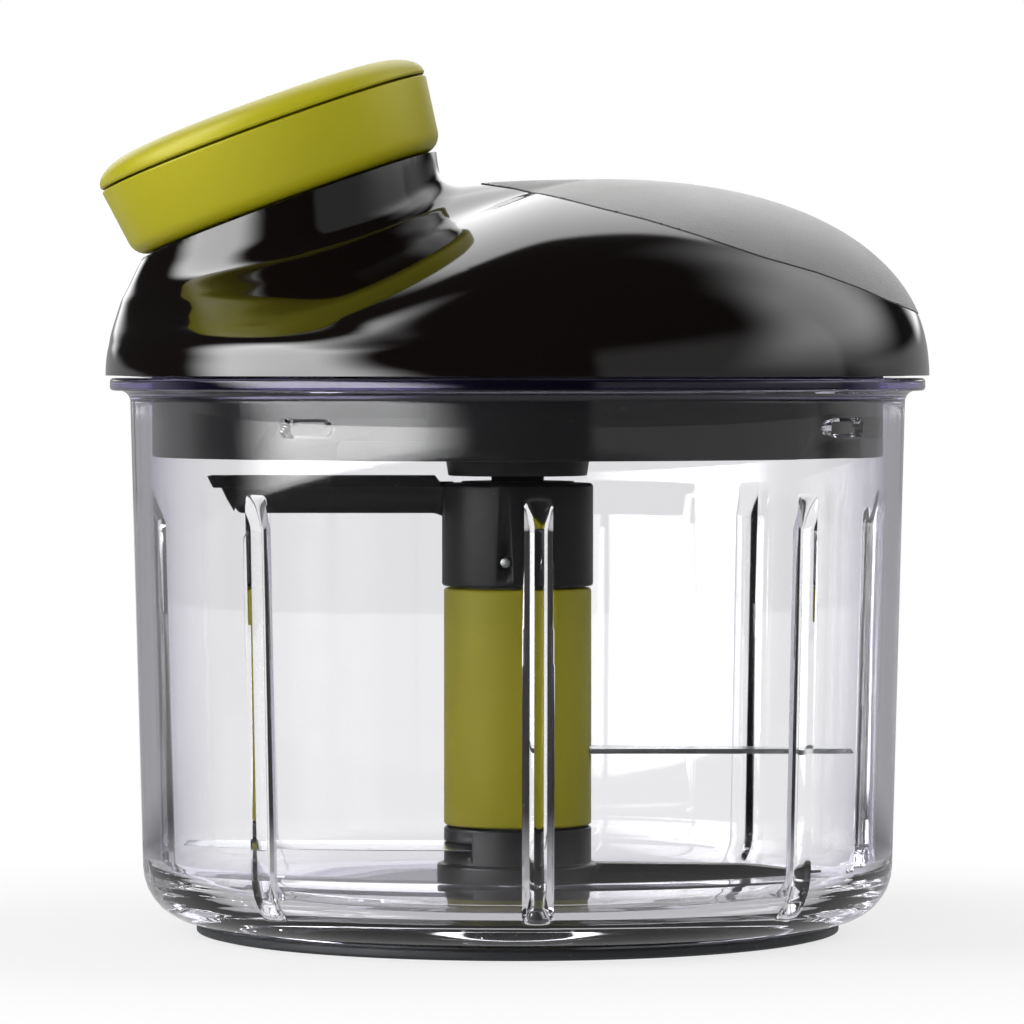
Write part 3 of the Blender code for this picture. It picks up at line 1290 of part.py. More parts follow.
def make_roller():
    groove = ROLLER_PITCH_RADIUS - CORD_RADIUS - REST_GAP
    half = ROLLER_WIDTH / 2
    corners = [
        (ROLLER_PIN_RADIUS + REST_GAP, -half, 0),
        (ROLLER_RIM_RADIUS, -half, 0),
        (ROLLER_RIM_RADIUS, ROLLER_RIM_WIDTH - half, 0),
        (groove, -CORD_RADIUS / 2, 0),
        (groove, CORD_RADIUS / 2, 0),
        (ROLLER_RIM_RADIUS, half - ROLLER_RIM_WIDTH, 0),
        (ROLLER_RIM_RADIUS, half, 0),
        (ROLLER_PIN_RADIUS + REST_GAP, half, 0),
    ]
    roller = turned("guide_roller", corners, inner_plastic(), MIDDLE_STEPS)
    roller.matrix_world = roller_frame()
    return roller


def make_roller_pin():
    half = ROLLER_WIDTH / 2 + REST_GAP + CHEEK_THICKNESS
    pin = plate("roller_pin", circle(ROLLER_PIN_RADIUS, SMALL_STEPS), -half, half, steel())
    pin.matrix_world = roller_frame()
    return pin


def make_carrier():
    """Two cheeks on a foot: the cheeks stand square to the roller's axis, the foot lies on the plate."""
    bottom = PLATE_TOP + REST_GAP
    fall = (ROLLER_CENTRE.z - bottom - CARRIER_FOOT_HEIGHT / 2) / ROLLER_UP.z
    foot_middle = ROLLER_CENTRE - ROLLER_UP * fall + LEVEL * (CARRIER_FOOT_LENGTH / 2 - CHEEK_HALF_WIDTH)
    side = Vector((LEVEL.x, LEVEL.y))
    heading = math.degrees(math.atan2(side.y, side.x))
    width = ROLLER_WIDTH + 2 * (REST_GAP + CHEEK_THICKNESS) + 2 * REST_GAP
    centre = (foot_middle.x, foot_middle.y)
    outline = box_outline(CARRIER_FOOT_LENGTH, width, heading, centre)
    carrier = plate("roller_carrier", outline, bottom, bottom + CARRIER_FOOT_HEIGHT, inner_plastic())
    place = roller_frame()
    cheek_outline = []
    for step in range(SMALL_STEPS + 1):
        turn = math.pi * step / SMALL_STEPS
        cheek_outline.append((CHEEK_HALF_WIDTH * math.cos(turn), CHEEK_HALF_WIDTH * math.sin(turn)))
    cheek_outline += [(-CHEEK_HALF_WIDTH, -fall), (CHEEK_HALF_WIDTH, -fall)]
    inner = ROLLER_WIDTH / 2 + REST_GAP
    for name, low, high in (
        ("near_cheek", inner, inner + CHEEK_THICKNESS),
        ("far_cheek", -inner - CHEEK_THICKNESS, -inner),
    ):
        combine(carrier, plate(name, cheek_outline, low, high, place=place), "UNION")
    reach = inner + CHEEK_THICKNESS + OVERRUN
    bore_outline = circle(ROLLER_PIN_RADIUS + REST_GAP, SMALL_STEPS)
    bore = plate("carrier_bore", bore_outline, -reach, reach, place=place)
    combine(carrier, bore, "DIFFERENCE")
    return carrier


def make_cord_guide(parent):
    top = -GUIDE_TOP
    bottom = top - GUIDE_THICKNESS
    corners = [
        (EYELET_HOLE, bottom - EYELET_DEPTH, 0),
        (EYELET_RADIUS, bottom - EYELET_DEPTH, 0),
        (EYELET_RADIUS, bottom, 0),
        (GUIDE_RADIUS - GUIDE_SKIRT_WALL, bottom, 0),
        (GUIDE_RADIUS - GUIDE_SKIRT_WALL, top - GUIDE_SKIRT, 0),
        (GUIDE_RADIUS, top - GUIDE_SKIRT, 0),
        (GUIDE_RADIUS, top, 0),
        (EYELET_HOLE + EDGE_ROUNDING, top, 0),
        (EYELET_HOLE, top - EDGE_ROUNDING, 0),
    ]
    return turned("cord_guide", corners, dark_plastic(), MIDDLE_STEPS, parent)


def make_handle_base(parent):
    low = HANDLE_GAP
    high = low + HANDLE_BASE_HEIGHT
    floor = low + HANDLE_WALL
    boss = floor + HANDLE_BOSS_HEIGHT
    inner_ring = HANDLE_RING_RADIUS - HANDLE_RING_WIDTH
    flare = HANDLE_BOTTOM_ROUNDING * HANDLE_BOTTOM_FLARE_SHARE
    corners = [
        (EYELET_HOLE, low, 0),
        (inner_ring, low, 0),
        (inner_ring, -HANDLE_RING_DEPTH, 0),
        (HANDLE_RING_RADIUS, -HANDLE_RING_DEPTH, 0),
        (HANDLE_RING_RADIUS, low, 0),
        (HANDLE_BOTTOM_RADIUS + flare, low, HANDLE_BOTTOM_ROUNDING),
        (HANDLE_RADIUS, high, EDGE_ROUNDING),
        (HANDLE_RADIUS - HANDLE_WALL, high, 0),
        (HANDLE_FLOOR_RADIUS, floor, 0),
        (HANDLE_BOSS_RADIUS, floor, 0),
        (HANDLE_BOSS_RADIUS, boss, 0),
        (EYELET_HOLE, boss, 0),
    ]
    return turned("handle_base", corners, green_plastic(), ROUND_STEPS, parent)


def make_handle_cap(parent):
    """The pebble-shaped cap with a plug that drops into the handle's base."""
    low = HANDLE_GAP + HANDLE_BASE_HEIGHT + HANDLE_SEAM
    plug = HANDLE_RADIUS - HANDLE_WALL - REST_GAP * 2
    slope = (HANDLE_RADIUS - HANDLE_FLOOR_RADIUS - HANDLE_WALL) / (HANDLE_BASE_HEIGHT - HANDLE_WALL)
    plug_end = plug - slope * CAP_PLUG_DEPTH
    corners = [(plug, low, 0), (HANDLE_RADIUS, low, 0)]
    for step in range(1, CAP_STEPS + 1):
        turn = math.pi / 2 * step / CAP_STEPS
        radius = HANDLE_RADIUS - CAP_EDGE * (1 - math.cos(turn))
        corners.append((radius, low + (CAP_HEIGHT - CAP_CROWN) * math.sin(turn), 0))
    corners += [
        (0, low + CAP_HEIGHT, 0),
        (0, low + CAP_HEIGHT - HANDLE_WALL, 0),
        (plug - CAP_EDGE, low + CAP_HEIGHT - CAP_CROWN - HANDLE_WALL, 0),
        (plug_end - HANDLE_WALL, low, 0),
        (plug_end - HANDLE_WALL, low - CAP_PLUG_DEPTH, 0),
        (plug_end, low - CAP_PLUG_DEPTH, 0),
    ]
    return turned("handle_cap", corners, green_plastic(), ROUND_STEPS, parent)


def make_ferrule(parent):
    low = FERRULE_BOTTOM
    high = low + FERRULE_LENGTH
    bore = CORD_RADIUS + REST_GAP
    corners = [
        (bore, low, 0),
        (FERRULE_RADIUS, low, 0),
        (FERRULE_RADIUS, high, EDGE_ROUNDING),
        (0, high, 0),
        (0, high - FERRULE_ROOF, 0),
        (bore, high - FERRULE_ROOF, 0),
    ]
    return turned("cord_ferrule", corners, steel(), SMALL_STEPS, parent)


def make_screws():
    metal = steel()
    for number, angle in enumerate(ring_angles(LID_POST_COUNT, LID_POST_FIRST_ANGLE), 1):
        place = Matrix.Translation(polar(angle, LID_POST_CIRCLE, PLATE_BOTTOM - REST_GAP))
        screw(f"lid_screw_{number}", place @ Matrix.Rotation(math.pi, 4, "X"), LID_SCREW_LENGTH, metal)
    for number, angle in enumerate(ear_angles(), 1):
        place = Matrix.Translation(polar(angle, EAR_CIRCLE, FRAME_BOTTOM + EAR_THICKNESS + REST_GAP))
        screw(f"frame_screw_{number}", place, FRAME_SCREW_LENGTH, metal)
    place = Matrix.Translation((0, 0, HUB_BOTTOM + SPIGOT_HEIGHT + REST_GAP))
    screw("hub_screw", place, HUB_SCREW_LENGTH, metal)


def make_axis(name, place):
    axis = bpy.data.objects.new(name, None)
    bpy.context.scene.collection.objects.link(axis)
    axis.matrix_world = place
    return axis


def build():
    clear_scene()
    make_bowl()
    make_foot()
    make_pivot_pin()
    make_blade_core()
    make_pivot_bush()
    make_sleeve()
    make_lower_collar()
    make_upper_collar()
    make_blade("upper_blade", UPPER_BLADE_HEIGHT, 0)
    make_blade("lower_blade", LOWER_BLADE_HEIGHT, 180)
    cross_pin_solid("cross_pin", CROSS_PIN_RADIUS, 2 * (UPPER_COLLAR_RADIUS - REST_GAP), steel())
    make_seal()
    make_lid_shell()
    make_grip_pad()
    make_lid_base()
    make_frame()
    make_spring_case()
    make_recoil_spring()
    make_carrier()
    make_roller_pin()
    make_roller()
    make_spool()
    make_winding()
    make_cord_run()
    make_drive_shaft()
    make_ratchet_hub()
    make_screws()
    guide_axis = make_axis("neck_axis", NECK_FRAME)
    make_cord_guide(guide_axis)
    pull_axis = make_axis("handle_axis", NECK_FRAME)
    make_handle_base(pull_axis)
    make_handle_cap(pull_axis)
    make_ferrule(pull_axis)
    make_pull_cord(pull_axis)


build()
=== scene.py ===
# Pull-cord food chopper: looks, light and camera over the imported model. Lengths are metres, +Z is up.
import math

import bmesh
import bpy
import numpy as np
from mathutils import Matrix, Vector


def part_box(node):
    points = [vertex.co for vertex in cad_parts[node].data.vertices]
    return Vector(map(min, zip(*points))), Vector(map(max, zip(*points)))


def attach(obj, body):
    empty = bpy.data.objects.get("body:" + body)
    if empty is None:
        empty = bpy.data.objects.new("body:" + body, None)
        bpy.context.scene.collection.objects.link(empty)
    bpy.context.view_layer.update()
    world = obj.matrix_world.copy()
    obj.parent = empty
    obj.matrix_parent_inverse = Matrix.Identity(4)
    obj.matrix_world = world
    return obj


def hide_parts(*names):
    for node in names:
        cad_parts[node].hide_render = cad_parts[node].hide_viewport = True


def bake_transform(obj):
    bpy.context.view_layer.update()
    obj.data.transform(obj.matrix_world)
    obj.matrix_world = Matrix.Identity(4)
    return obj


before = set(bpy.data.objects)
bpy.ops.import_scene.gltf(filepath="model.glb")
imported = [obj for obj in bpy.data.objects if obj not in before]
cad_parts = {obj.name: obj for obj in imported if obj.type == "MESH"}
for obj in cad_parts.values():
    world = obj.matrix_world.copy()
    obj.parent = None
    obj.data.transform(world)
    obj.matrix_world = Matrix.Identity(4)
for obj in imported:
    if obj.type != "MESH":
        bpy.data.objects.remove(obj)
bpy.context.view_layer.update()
print("frame loaded,", len(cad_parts), "nodes")


def newPiece(name, mesh, material, smoothAngle=32):
    bmesh.ops.remove_doubles(mesh, verts=mesh.verts, dist=1e-7)
    bmesh.ops.recalc_face_normals(mesh, faces=mesh.faces)
    data = bpy.data.meshes.new(name)
    mesh.to_mesh(data)
    mesh.free()
    data.shade_smooth()
    data.set_sharp_from_angle(angle=math.radians(smoothAngle))
    piece = bpy.data.objects.new(name, data)
    bpy.context.scene.collection.objects.link(piece)
    data.materials.append(material)
    return piece


def place(piece, body, nodes=()):
    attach(piece, body)
    if nodes:
        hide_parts(*nodes)
    return piece


def roundCorners(corners, steps=6):
    # corners are (radius, height, rounding); a closed outline comes back as plain points
    points = []
    for index, (x, y, rounding) in enumerate(corners):
        here = Vector((x, y))
        if rounding <= 0:
            points.append(here)
            continue
        before = (Vector(corners[index - 1][:2]) - here).normalized()
        after = (Vector(corners[(index + 1) % len(corners)][:2]) - here).normalized()
        half = before.angle(after) / 2
        centre = here + (before + after).normalized() * rounding / math.sin(half)
        start = here + before * rounding / math.tan(half) - centre
        end = here + after * rounding / math.tan(half) - centre
        turn = math.pi - 2 * half
        for step in range(steps + 1):
            part = turn * step / steps
            points.append(centre + (start * math.sin(turn - part) + end * math.sin(part)) / math.sin(turn))
    return points


def onCircle(radius, turn, height=0.0):
    return radius * math.cos(turn), radius * math.sin(turn), height


def fromFront(radius, turn, height):
    return radius * math.sin(turn), -radius * math.cos(turn), height


def turnedMesh(points, columns=128, matrix=None):
    mesh = bmesh.new()
    rings = []
    for x, y in points:
        if x < 1e-6:
            rings.append([mesh.verts.new((0, 0, y))])
            continue
        rings.append([mesh.verts.new(onCircle(x, math.tau * step / columns, y)) for step in range(columns)])
    for low, high in zip(rings, rings[1:] + rings[:1]):
        for step in range(columns):
            corners = [low[step - 1 if len(low) > 1 else 0], low[step if len(low) > 1 else 0]]
            corners += [high[step if len(high) > 1 else 0], high[step - 1 if len(high) > 1 else 0]]
            corners = list(dict.fromkeys(corners))
            if len(corners) > 2:
                mesh.faces.new(corners)
    if matrix:
        bmesh.ops.transform(mesh, matrix=matrix, verts=mesh.verts)
    return mesh


def turnedPiece(name, corners, material, columns=128, matrix=None, steps=6):
    points = [tuple(point) for point in roundCorners(corners, steps)]
    return newPiece(name, turnedMesh(points, columns, matrix), material)


def rodOutline(radius, low, high, rounding=0):
    return ((0, low, 0), (radius, low, rounding), (radius, high, rounding), (0, high, 0))


def loftMesh(rings):
    mesh = bmesh.new()
    rows = [[mesh.verts.new(point) for point in ring] for ring in rings]
    for low, high in zip(rows, rows[1:]):
        for index in range(len(low)):
            mesh.faces.new((low[index - 1], low[index], high[index], high[index - 1]))
    mesh.faces.new(rows[0])
    mesh.faces.new(rows[-1])
    return mesh


def bakeModifiers(piece):
    # turns the evaluated shape into the piece's own mesh
    graph = bpy.context.evaluated_depsgraph_get()
    data = bpy.data.meshes.new_from_object(piece.evaluated_get(graph))
    piece.modifiers.clear()
    piece.data = data
    return piece


def softenEdges(piece, width, segments=3, angle=30):
    bevel = piece.modifiers.new("softEdges", "BEVEL")
    bevel.width = width
    bevel.segments = segments
    bevel.limit_method = "ANGLE"
    bevel.angle_limit = math.radians(angle)
    bevel.harden_normals = False
    return bakeModifiers(piece)


def cutWith(piece, tools, operation="DIFFERENCE"):
    for tool in tools:
        modifier = piece.modifiers.new(tool.name, "BOOLEAN")
        modifier.operation = operation
        modifier.solver = "EXACT"
        modifier.object = tool
    bakeModifiers(piece)
    for tool in tools:
        bpy.data.objects.remove(tool, do_unlink=True)
    return piece


def addSocket(tree, name, kind, inOut, value=None):
    socket = tree.interface.new_socket(name=name, in_out=inOut, socket_type="NodeSocket" + kind)
    if value is not None:
        socket.default_value = value


def feed(tree, node, **sockets):
    # sockets, by name or by number, take values or other nodes' outputs
    for key, value in sockets.items():
        target = node.inputs[int(key[1:]) if key[1:].isdigit() else key.replace("_", " ")]
        if isinstance(value, bpy.types.NodeSocket):
            tree.links.new(value, target)
        else:
            target.default_value = value


def addNode(tree, kind, options=(), **sockets):
    # a fed node; its first output comes back
    node = tree.nodes.new(kind)
    for key, value in dict(options).items():
        setattr(node, key, value)
    feed(tree, node, **sockets)
    return node.outputs[0]


def mathNode(tree, operation, *values):
    sockets = {f"_{index}": value for index, value in enumerate(values)}
    return addNode(tree, "ShaderNodeMath", {"operation": operation}, **sockets)


def spread(tree, value, fromMin, fromMax, toMin=0.0, toMax=1.0, kind="LINEAR"):
    return addNode(
        tree, "ShaderNodeMapRange", {"interpolation_type": kind},
        Value=value, From_Min=fromMin, From_Max=fromMax, To_Min=toMin, To_Max=toMax,
    )


def smoothFade(tree, *levels):
    return spread(tree, *levels, "SMOOTHSTEP")


def mixColours(tree, factor, first, second):
    colours = [item if isinstance(item, bpy.types.NodeSocket) else (*item, 1.0) for item in (first, second)]
    mix = addNode(tree, "ShaderNodeMix", {"data_type": "RGBA"}, _0=factor, _6=colours[0], _7=colours[1])
    return mix.node.outputs[2]


def noise(tree, space, **sockets):
    return addNode(tree, "ShaderNodeTexNoise", Vector=space, **sockets).node.outputs["Fac"]


def objectSpace(tree):
    return addNode(tree, "ShaderNodeTexCoord").node.outputs["Object"]


def newMaterial(name):
    material = bpy.data.materials.new(name)
    material.use_nodes = True
    return material, material.node_tree, material.node_tree.nodes["Principled BSDF"]


# grain, slow mottling and fine dust that every moulded surface has, each at the scale its material asks for
skinSizes = {"grainPerMetre": 3000.0, "grainDepth": 0.1, "mottlePerMetre": 40.0, "dustAmount": 0.2}


def buildMouldedSkin():
    tree = bpy.data.node_groups.new("mouldedSkin", "ShaderNodeTree")
    for name, value in skinSizes.items():
        addSocket(tree, name, "Float", "INPUT", value)
    for name, kind in (("Normal", "Vector"), ("mottle", "Float"), ("dust", "Float")):
        addSocket(tree, name, kind, "OUTPUT")
    given = tree.nodes.new("NodeGroupInput").outputs
    space = objectSpace(tree)
    grain = noise(tree, space, Scale=given["grainPerMetre"], Detail=3.0)
    mottle = noise(tree, space, Scale=given["mottlePerMetre"], Detail=4.0, Roughness=0.6)
    specks = noise(tree, space, Scale=1500.0, Detail=1.0)
    feed(
        tree, tree.nodes.new("NodeGroupOutput"), mottle=mottle,
        Normal=addNode(tree, "ShaderNodeBump", Height=grain, Strength=given["grainDepth"], Distance=0.0001),
        dust=mathNode(tree, "MULTIPLY", spread(tree, specks, 0.70, 0.78), given["dustAmount"]),
    )
    return tree


mouldedSkin = buildMouldedSkin()
dustColour = (0.35, 0.34, 0.32)


def skinNode(tree, look):
    sizes = {key: look[key] for key in skinSizes}
    return addNode(tree, "ShaderNodeGroup", {"node_tree": mouldedSkin}, **sizes).node.outputs


def mouldedPlastic(name, look):
    # one Principled shader: its colour and roughness drift with the mottling, its normal carries the grain
    material, tree, shader = newMaterial(name)
    skin = skinNode(tree, look)
    drifted = mixColours(tree, skin["mottle"], look["colour"], look["colourDrift"])
    feed(
        tree, shader, Base_Color=mixColours(tree, skin["dust"], drifted, dustColour), Normal=skin["Normal"],
        Roughness=spread(tree, skin["mottle"], 0.3, 0.7, *look["roughness"]), IOR=look.get("ior", 1.5),
        Metallic=look.get("metallic", 0.0), Specular_IOR_Level=look.get("specular", 0.5),
        Coat_Weight=look.get("coat", 0.0), Coat_Roughness=0.03, Sheen_Weight=look.get("sheen", 0.0),
    )
    return material


plasticLooks = {
    "lidGloss": {
        "colour": (0.0030, 0.0020, 0.0017), "colourDrift": (0.0040, 0.0027, 0.0023),
        "roughness": (0.05, 0.09),
        "grainPerMetre": 900.0, "grainDepth": 0.01, "mottlePerMetre": 30.0, "dustAmount": 0.01, "coat": 0.25,
    },
    "gripMatte": {
        "colour": (0.055, 0.055, 0.056), "colourDrift": (0.080, 0.080, 0.081), "roughness": (0.38, 0.50),
        "grainPerMetre": 3600.0, "grainDepth": 0.9, "mottlePerMetre": 60.0, "dustAmount": 0.10, "sheen": 0.5,
    },
    "oliveSatin": {
        "colour": (0.400, 0.365, 0.010), "colourDrift": (0.370, 0.338, 0.009), "roughness": (0.34, 0.44),
        "grainPerMetre": 4200.0, "grainDepth": 0.22, "mottlePerMetre": 45.0, "dustAmount": 0.01,
        "specular": 0.3,
    },
    "charcoalSatin": {
        "colour": (0.013, 0.013, 0.0142), "colourDrift": (0.017, 0.017, 0.0185), "roughness": (0.34, 0.46),
        "grainPerMetre": 3800.0, "grainDepth": 0.25, "mottlePerMetre": 55.0, "dustAmount": 0.06,
        "specular": 0.28,
    },
    "footRubber": {
        "colour": (0.0085, 0.0100, 0.0125), "colourDrift": (0.013, 0.015, 0.018), "roughness": (0.45, 0.60),
        "grainPerMetre": 3000.0, "grainDepth": 0.3, "mottlePerMetre": 70.0, "dustAmount": 0.12,
    },
    "paleNylon": {
        "colour": (0.70, 0.70, 0.67), "colourDrift": (0.64, 0.64, 0.60), "roughness": (0.42, 0.55),
        "grainPerMetre": 3500.0, "grainDepth": 0.2, "mottlePerMetre": 60.0, "dustAmount": 0.05,
    },
    "sealSilicone": {
        "colour": (0.50, 0.50, 0.52), "colourDrift": (0.44, 0.44, 0.46), "roughness": (0.45, 0.6),
        "grainPerMetre": 2500.0, "grainDepth": 0.2, "mottlePerMetre": 80.0, "dustAmount": 0.08,
    },
    "bushBronze": {
        "colour": (0.45, 0.30, 0.12), "colourDrift": (0.38, 0.25, 0.10), "roughness": (0.3, 0.45),
        "grainPerMetre": 5000.0, "grainDepth": 0.3, "mottlePerMetre": 120.0, "dustAmount": 0.05,
        "metallic": 1.0,
    },
}
plastics = {name: mouldedPlastic(name, look) for name, look in plasticLooks.items()}
charcoal, olive, nylon = (plastics[name] for name in ("charcoalSatin", "oliveSatin", "paleNylon"))

clearLook = {
    "wall": (0.974, 0.972, 0.984), "edge": (0.52, 0.50, 0.68), "flange": (0.33, 0.28, 0.64),
    "base": (0.91, 0.895, 0.965), "flangeStart": 0.0858, "flangeFull": 0.0872, "baseHeight": 0.012,
    "edgeFrom": 0.42, "edgeTo": 0.95, "ior": 1.49, "roughness": (0.0075, 0.0225),
    "grainPerMetre": 60.0, "grainDepth": 0.02, "mottlePerMetre": 25.0, "dustAmount": 0.0,
}


def clearLilac(look):
    # clear moulding whose colour deepens in the flange, in the thick base and where the wall turns away
    material, tree, shader = newMaterial("clearLilac")
    skin = skinNode(tree, look)
    height = addNode(tree, "ShaderNodeSeparateXYZ", Vector=objectSpace(tree)).node.outputs["Z"]
    facing = addNode(tree, "ShaderNodeLayerWeight", Blend=0.5).node.outputs["Facing"]
    colour = mixColours(tree, spread(tree, height, 0.0, look["baseHeight"]), look["base"], look["wall"])
    colour = mixColours(tree, spread(tree, facing, look["edgeFrom"], look["edgeTo"]), colour, look["edge"])
    rising = spread(tree, height, look["flangeStart"], look["flangeFull"])
    feed(
        tree, shader, Base_Color=mixColours(tree, rising, colour, look["flange"]), Normal=skin["Normal"],
        Roughness=spread(tree, skin["mottle"], 0.0, 1.0, *look["roughness"]), IOR=look["ior"],
        Transmission_Weight=1.0,
    )
    return material


steelLook = {
    "colours": ((0.4988, 0.5074, 0.516), (0.58, 0.59, 0.60)), "linesPerMetre": 900.0, "lineDetail": 5.0,
    "roughness": (0.14, 0.30), "bump": 0.15, "bumpHeight": 0.00005,
}


def brushedSteel(name, look, stretch):
    # fine grinding lines: noise squeezed across the piece
    material, tree, shader = newMaterial(name)
    squeezed = addNode(tree, "ShaderNodeMapping", Vector=objectSpace(tree), Scale=stretch)
    lines = noise(tree, squeezed, Scale=look["linesPerMetre"], Detail=look["lineDetail"])
    bump = addNode(tree, "ShaderNodeBump", Height=lines, Strength=look["bump"], Distance=look["bumpHeight"])
    feed(
        tree, shader, Metallic=1.0, Base_Color=mixColours(tree, lines, *look["colours"]), Normal=bump,
        Roughness=spread(tree, lines, 0.0, 1.0, *look["roughness"]),
    )
    return material


weaveLook = {
    "colours": ((0.42, 0.42, 0.40), (0.80, 0.80, 0.77)), "turns": (0.9, -0.9), "wavesPerMetre": 900.0,
    "roughness": 0.75, "bump": 0.6, "bumpHeight": 0.0001,
}


def wovenCord(look):
    # crossed waves round and along the cord give the braid; its colour darkens where the waves sit low,
    # painted shade in the grooves between strands
    material, tree, shader = newMaterial("wovenCord")
    space = objectSpace(tree)
    waves = []
    for turn in look["turns"]:
        tilted = addNode(tree, "ShaderNodeMapping", Vector=space, Rotation=(turn, 0.0, turn))
        wave = addNode(tree, "ShaderNodeTexWave", Vector=tilted, Scale=look["wavesPerMetre"])
        waves.append(wave.node.outputs["Fac"])
    cross = mathNode(tree, "MULTIPLY", *waves)
    bump = addNode(tree, "ShaderNodeBump", Height=cross, Strength=look["bump"], Distance=look["bumpHeight"])
    # painted shade: the colour is darker where the weave's bump is low, in the grooves between strands
    braidWithGrooveShade = mixColours(tree, cross, *look["colours"])
    feed(tree, shader, Base_Color=braidWithGrooveShade, Roughness=look["roughness"], Normal=bump)
    return material


bowlClear = clearLilac(clearLook)
bladeSteel = brushedSteel("bladeSteel", steelLook, (0.15, 1.0, 1.0))
pinSteel = brushedSteel("pinSteel", steelLook, (1.0, 1.0, 0.2))
cordWeave = wovenCord(weaveLook)
print("materials built")

bowlShape = {
    "outline": (
        (0, 0.0039, 0), (0.0453, 0.0039, 0), (0.0453, 0.0021, 0.0003), (0.0597, 0.0021, 0.0088),
        (0.0619, 0.0866, 0.0018), (0.0651, 0.0866, 0.0006), (0.0651, 0.0886, 0.0006),
        (0.0593, 0.0886, 0.0006), (0.0571, 0.0065, 0.0062), (0.0058, 0.0065, 0.0012),
        (0.0050, 0.0140, 0.0005), (0.0028, 0.0140, 0), (0.0028, 0.0058, 0), (0, 0.0058, 0),
    ),
    "ribs": 8, "ribFirst": 3.0, "ribWidth": 0.0043, "ribDepth": 0.0022, "ribTop": 0.0707, "ribRunOut": 0.0050,
    "lugs": 4, "lugFirst": -32.5, "lugHeight": 0.0810, "lugLength": 0.0090, "lugThickness": 0.0029,
    "lugDepth": 0.0022, "lugEdge": 0.0004, "ribFoot": (0.0066, 0.0090), "ribRoundness": 0.55,
    # the fine rows of the inner wall end at the rim and in the floor's corner
    "rimFrom": 0.0879, "floorFrom": 0.0515, "finePitch": 0.0005, "plainPitch": 0.004, "flatUnder": 0.046,
    "angleStep": 3.0, "ribStep": 0.3, "ribSteps": 9, "lugStep": 0.45, "lugSteps": 12, "leastStep": 0.12,
}


def easeIn(value, low, high):
    share = min(1.0, max(0.0, (value - low) / (high - low)))
    return share * share * (3 - 2 * share)


def wallRelief(shape, angle, radius, height):
    # how far the inner wall stands in at a place: half-round ribs and pill-shaped lugs
    relief = 0.0
    for index in range(shape["ribs"]):
        away = (angle - shape["ribFirst"] - 360 * index / shape["ribs"] + 180) % 360 - 180
        across = abs(math.radians(away) * radius) / (shape["ribWidth"] / 2)
        if across < 1:
            top = min(1.0, max(0.0, (shape["ribTop"] - height) / shape["ribRunOut"]))
            section = (1 - across * across) ** shape["ribRoundness"]
            bottom = easeIn(height, *shape["ribFoot"])
            relief = max(relief, shape["ribDepth"] * section * top * bottom)
    for index in range(shape["lugs"]):
        away = (angle - shape["lugFirst"] - 360 * index / shape["lugs"] + 180) % 360 - 180
        along = abs(math.radians(away) * radius) - (shape["lugLength"] - shape["lugThickness"]) / 2
        reach = shape["lugThickness"] / 2 - math.hypot(max(along, 0.0), height - shape["lugHeight"])
        if reach > 0:
            relief = max(relief, shape["lugDepth"] * easeIn(reach, 0.0, shape["lugEdge"]))
    return relief


def between(first, second, pieces):
    # even spots from the first towards the second, without the second
    shares = [step / pieces for step in range(pieces)]
    return [tuple(low + (high - low) * share for low, high in zip(first, second)) for share in shares]


def bowlColumns(shape):
    # even columns, with more of them at each rib and lug
    angles = [shape["angleStep"] * step for step in range(round(360 / shape["angleStep"]))]
    for kind in ("rib", "lug"):
        count, steps = shape[kind + "s"], shape[kind + "Steps"]
        for index in range(count):
            centre = shape[kind + "First"] + 360 * index / count
            angles += [centre + shape[kind + "Step"] * step for step in range(-steps, steps + 1)]
    kept = []
    for angle in sorted(angle % 360 for angle in angles):
        if not kept or angle - kept[-1] > shape["leastStep"]:
            kept.append(angle)
    return kept


def makeBowl(shape):
    outline = [tuple(point) for point in roundCorners(shape["outline"], 8)]
    rimIndex = max(index for index, point in enumerate(outline) if point[1] > shape["rimFrom"])
    inward = range(rimIndex, len(outline))
    floorIndex = next(index for index in inward if outline[index][0] < shape["floorFrom"])
    fine = []
    for index, (first, second) in enumerate(zip(outline, outline[1:] + outline[:1])):
        inner = rimIndex <= index < floorIndex
        pitch = shape["finePitch"] if inner else shape["plainPitch"]
        pieces = max(1, math.ceil(math.dist(first, second) / pitch))
        if not inner and first[0] < shape["flatUnder"]:
            pieces = 1
        fine += [(spot, inner) for spot in between(first, second, pieces)]
    columns = bowlColumns(shape)
    mesh = bmesh.new()
    rings = []
    for (radius, height), inner in fine:
        if radius < 1e-6:
            rings.append([mesh.verts.new((0, 0, height))])
            continue
        ring = []
        for angle in columns:
            depth = wallRelief(shape, angle, radius, height) if inner else 0.0
            ring.append(mesh.verts.new(fromFront(radius - depth, math.radians(angle), height)))
        rings.append(ring)
    for low, high in zip(rings, rings[1:] + rings[:1]):
        for step in range(len(columns)):
            corners = [low[step - 1], low[step]] if len(low) > 1 else [low[0]]
            corners += [high[step], high[step - 1]] if len(high) > 1 else [high[0]]
            if len(corners) > 2:
                mesh.faces.new(corners)
    return newPiece("bowlClearWall", mesh, bowlClear, 38)


place(makeBowl(bowlShape), "bowl", ["bowl"])

footShape = {
    "outline": (
        (0, 0, 0), (0.0345, 0, 0), (0.0350, 0.0006, 0), (0.0357, 0, 0), (0.0413, 0, 0),
        (0.0420, 0.0006, 0), (0.0427, 0, 0), (0.0500, 0, 0.0002), (0.0502, 0.0003, 0),
        (0.0514, 0.0003, 0.0003), (0.0514, 0.0018, 0.0005), (0.0450, 0.0018, 0), (0.0450, 0.0036, 0.0003),
        (0, 0.0036, 0),
    ),
}
foot = turnedPiece("footPad", footShape["outline"], plastics["footRubber"], 160)
place(foot, "bowl", ["base_foot"])
print("bowl and foot built")

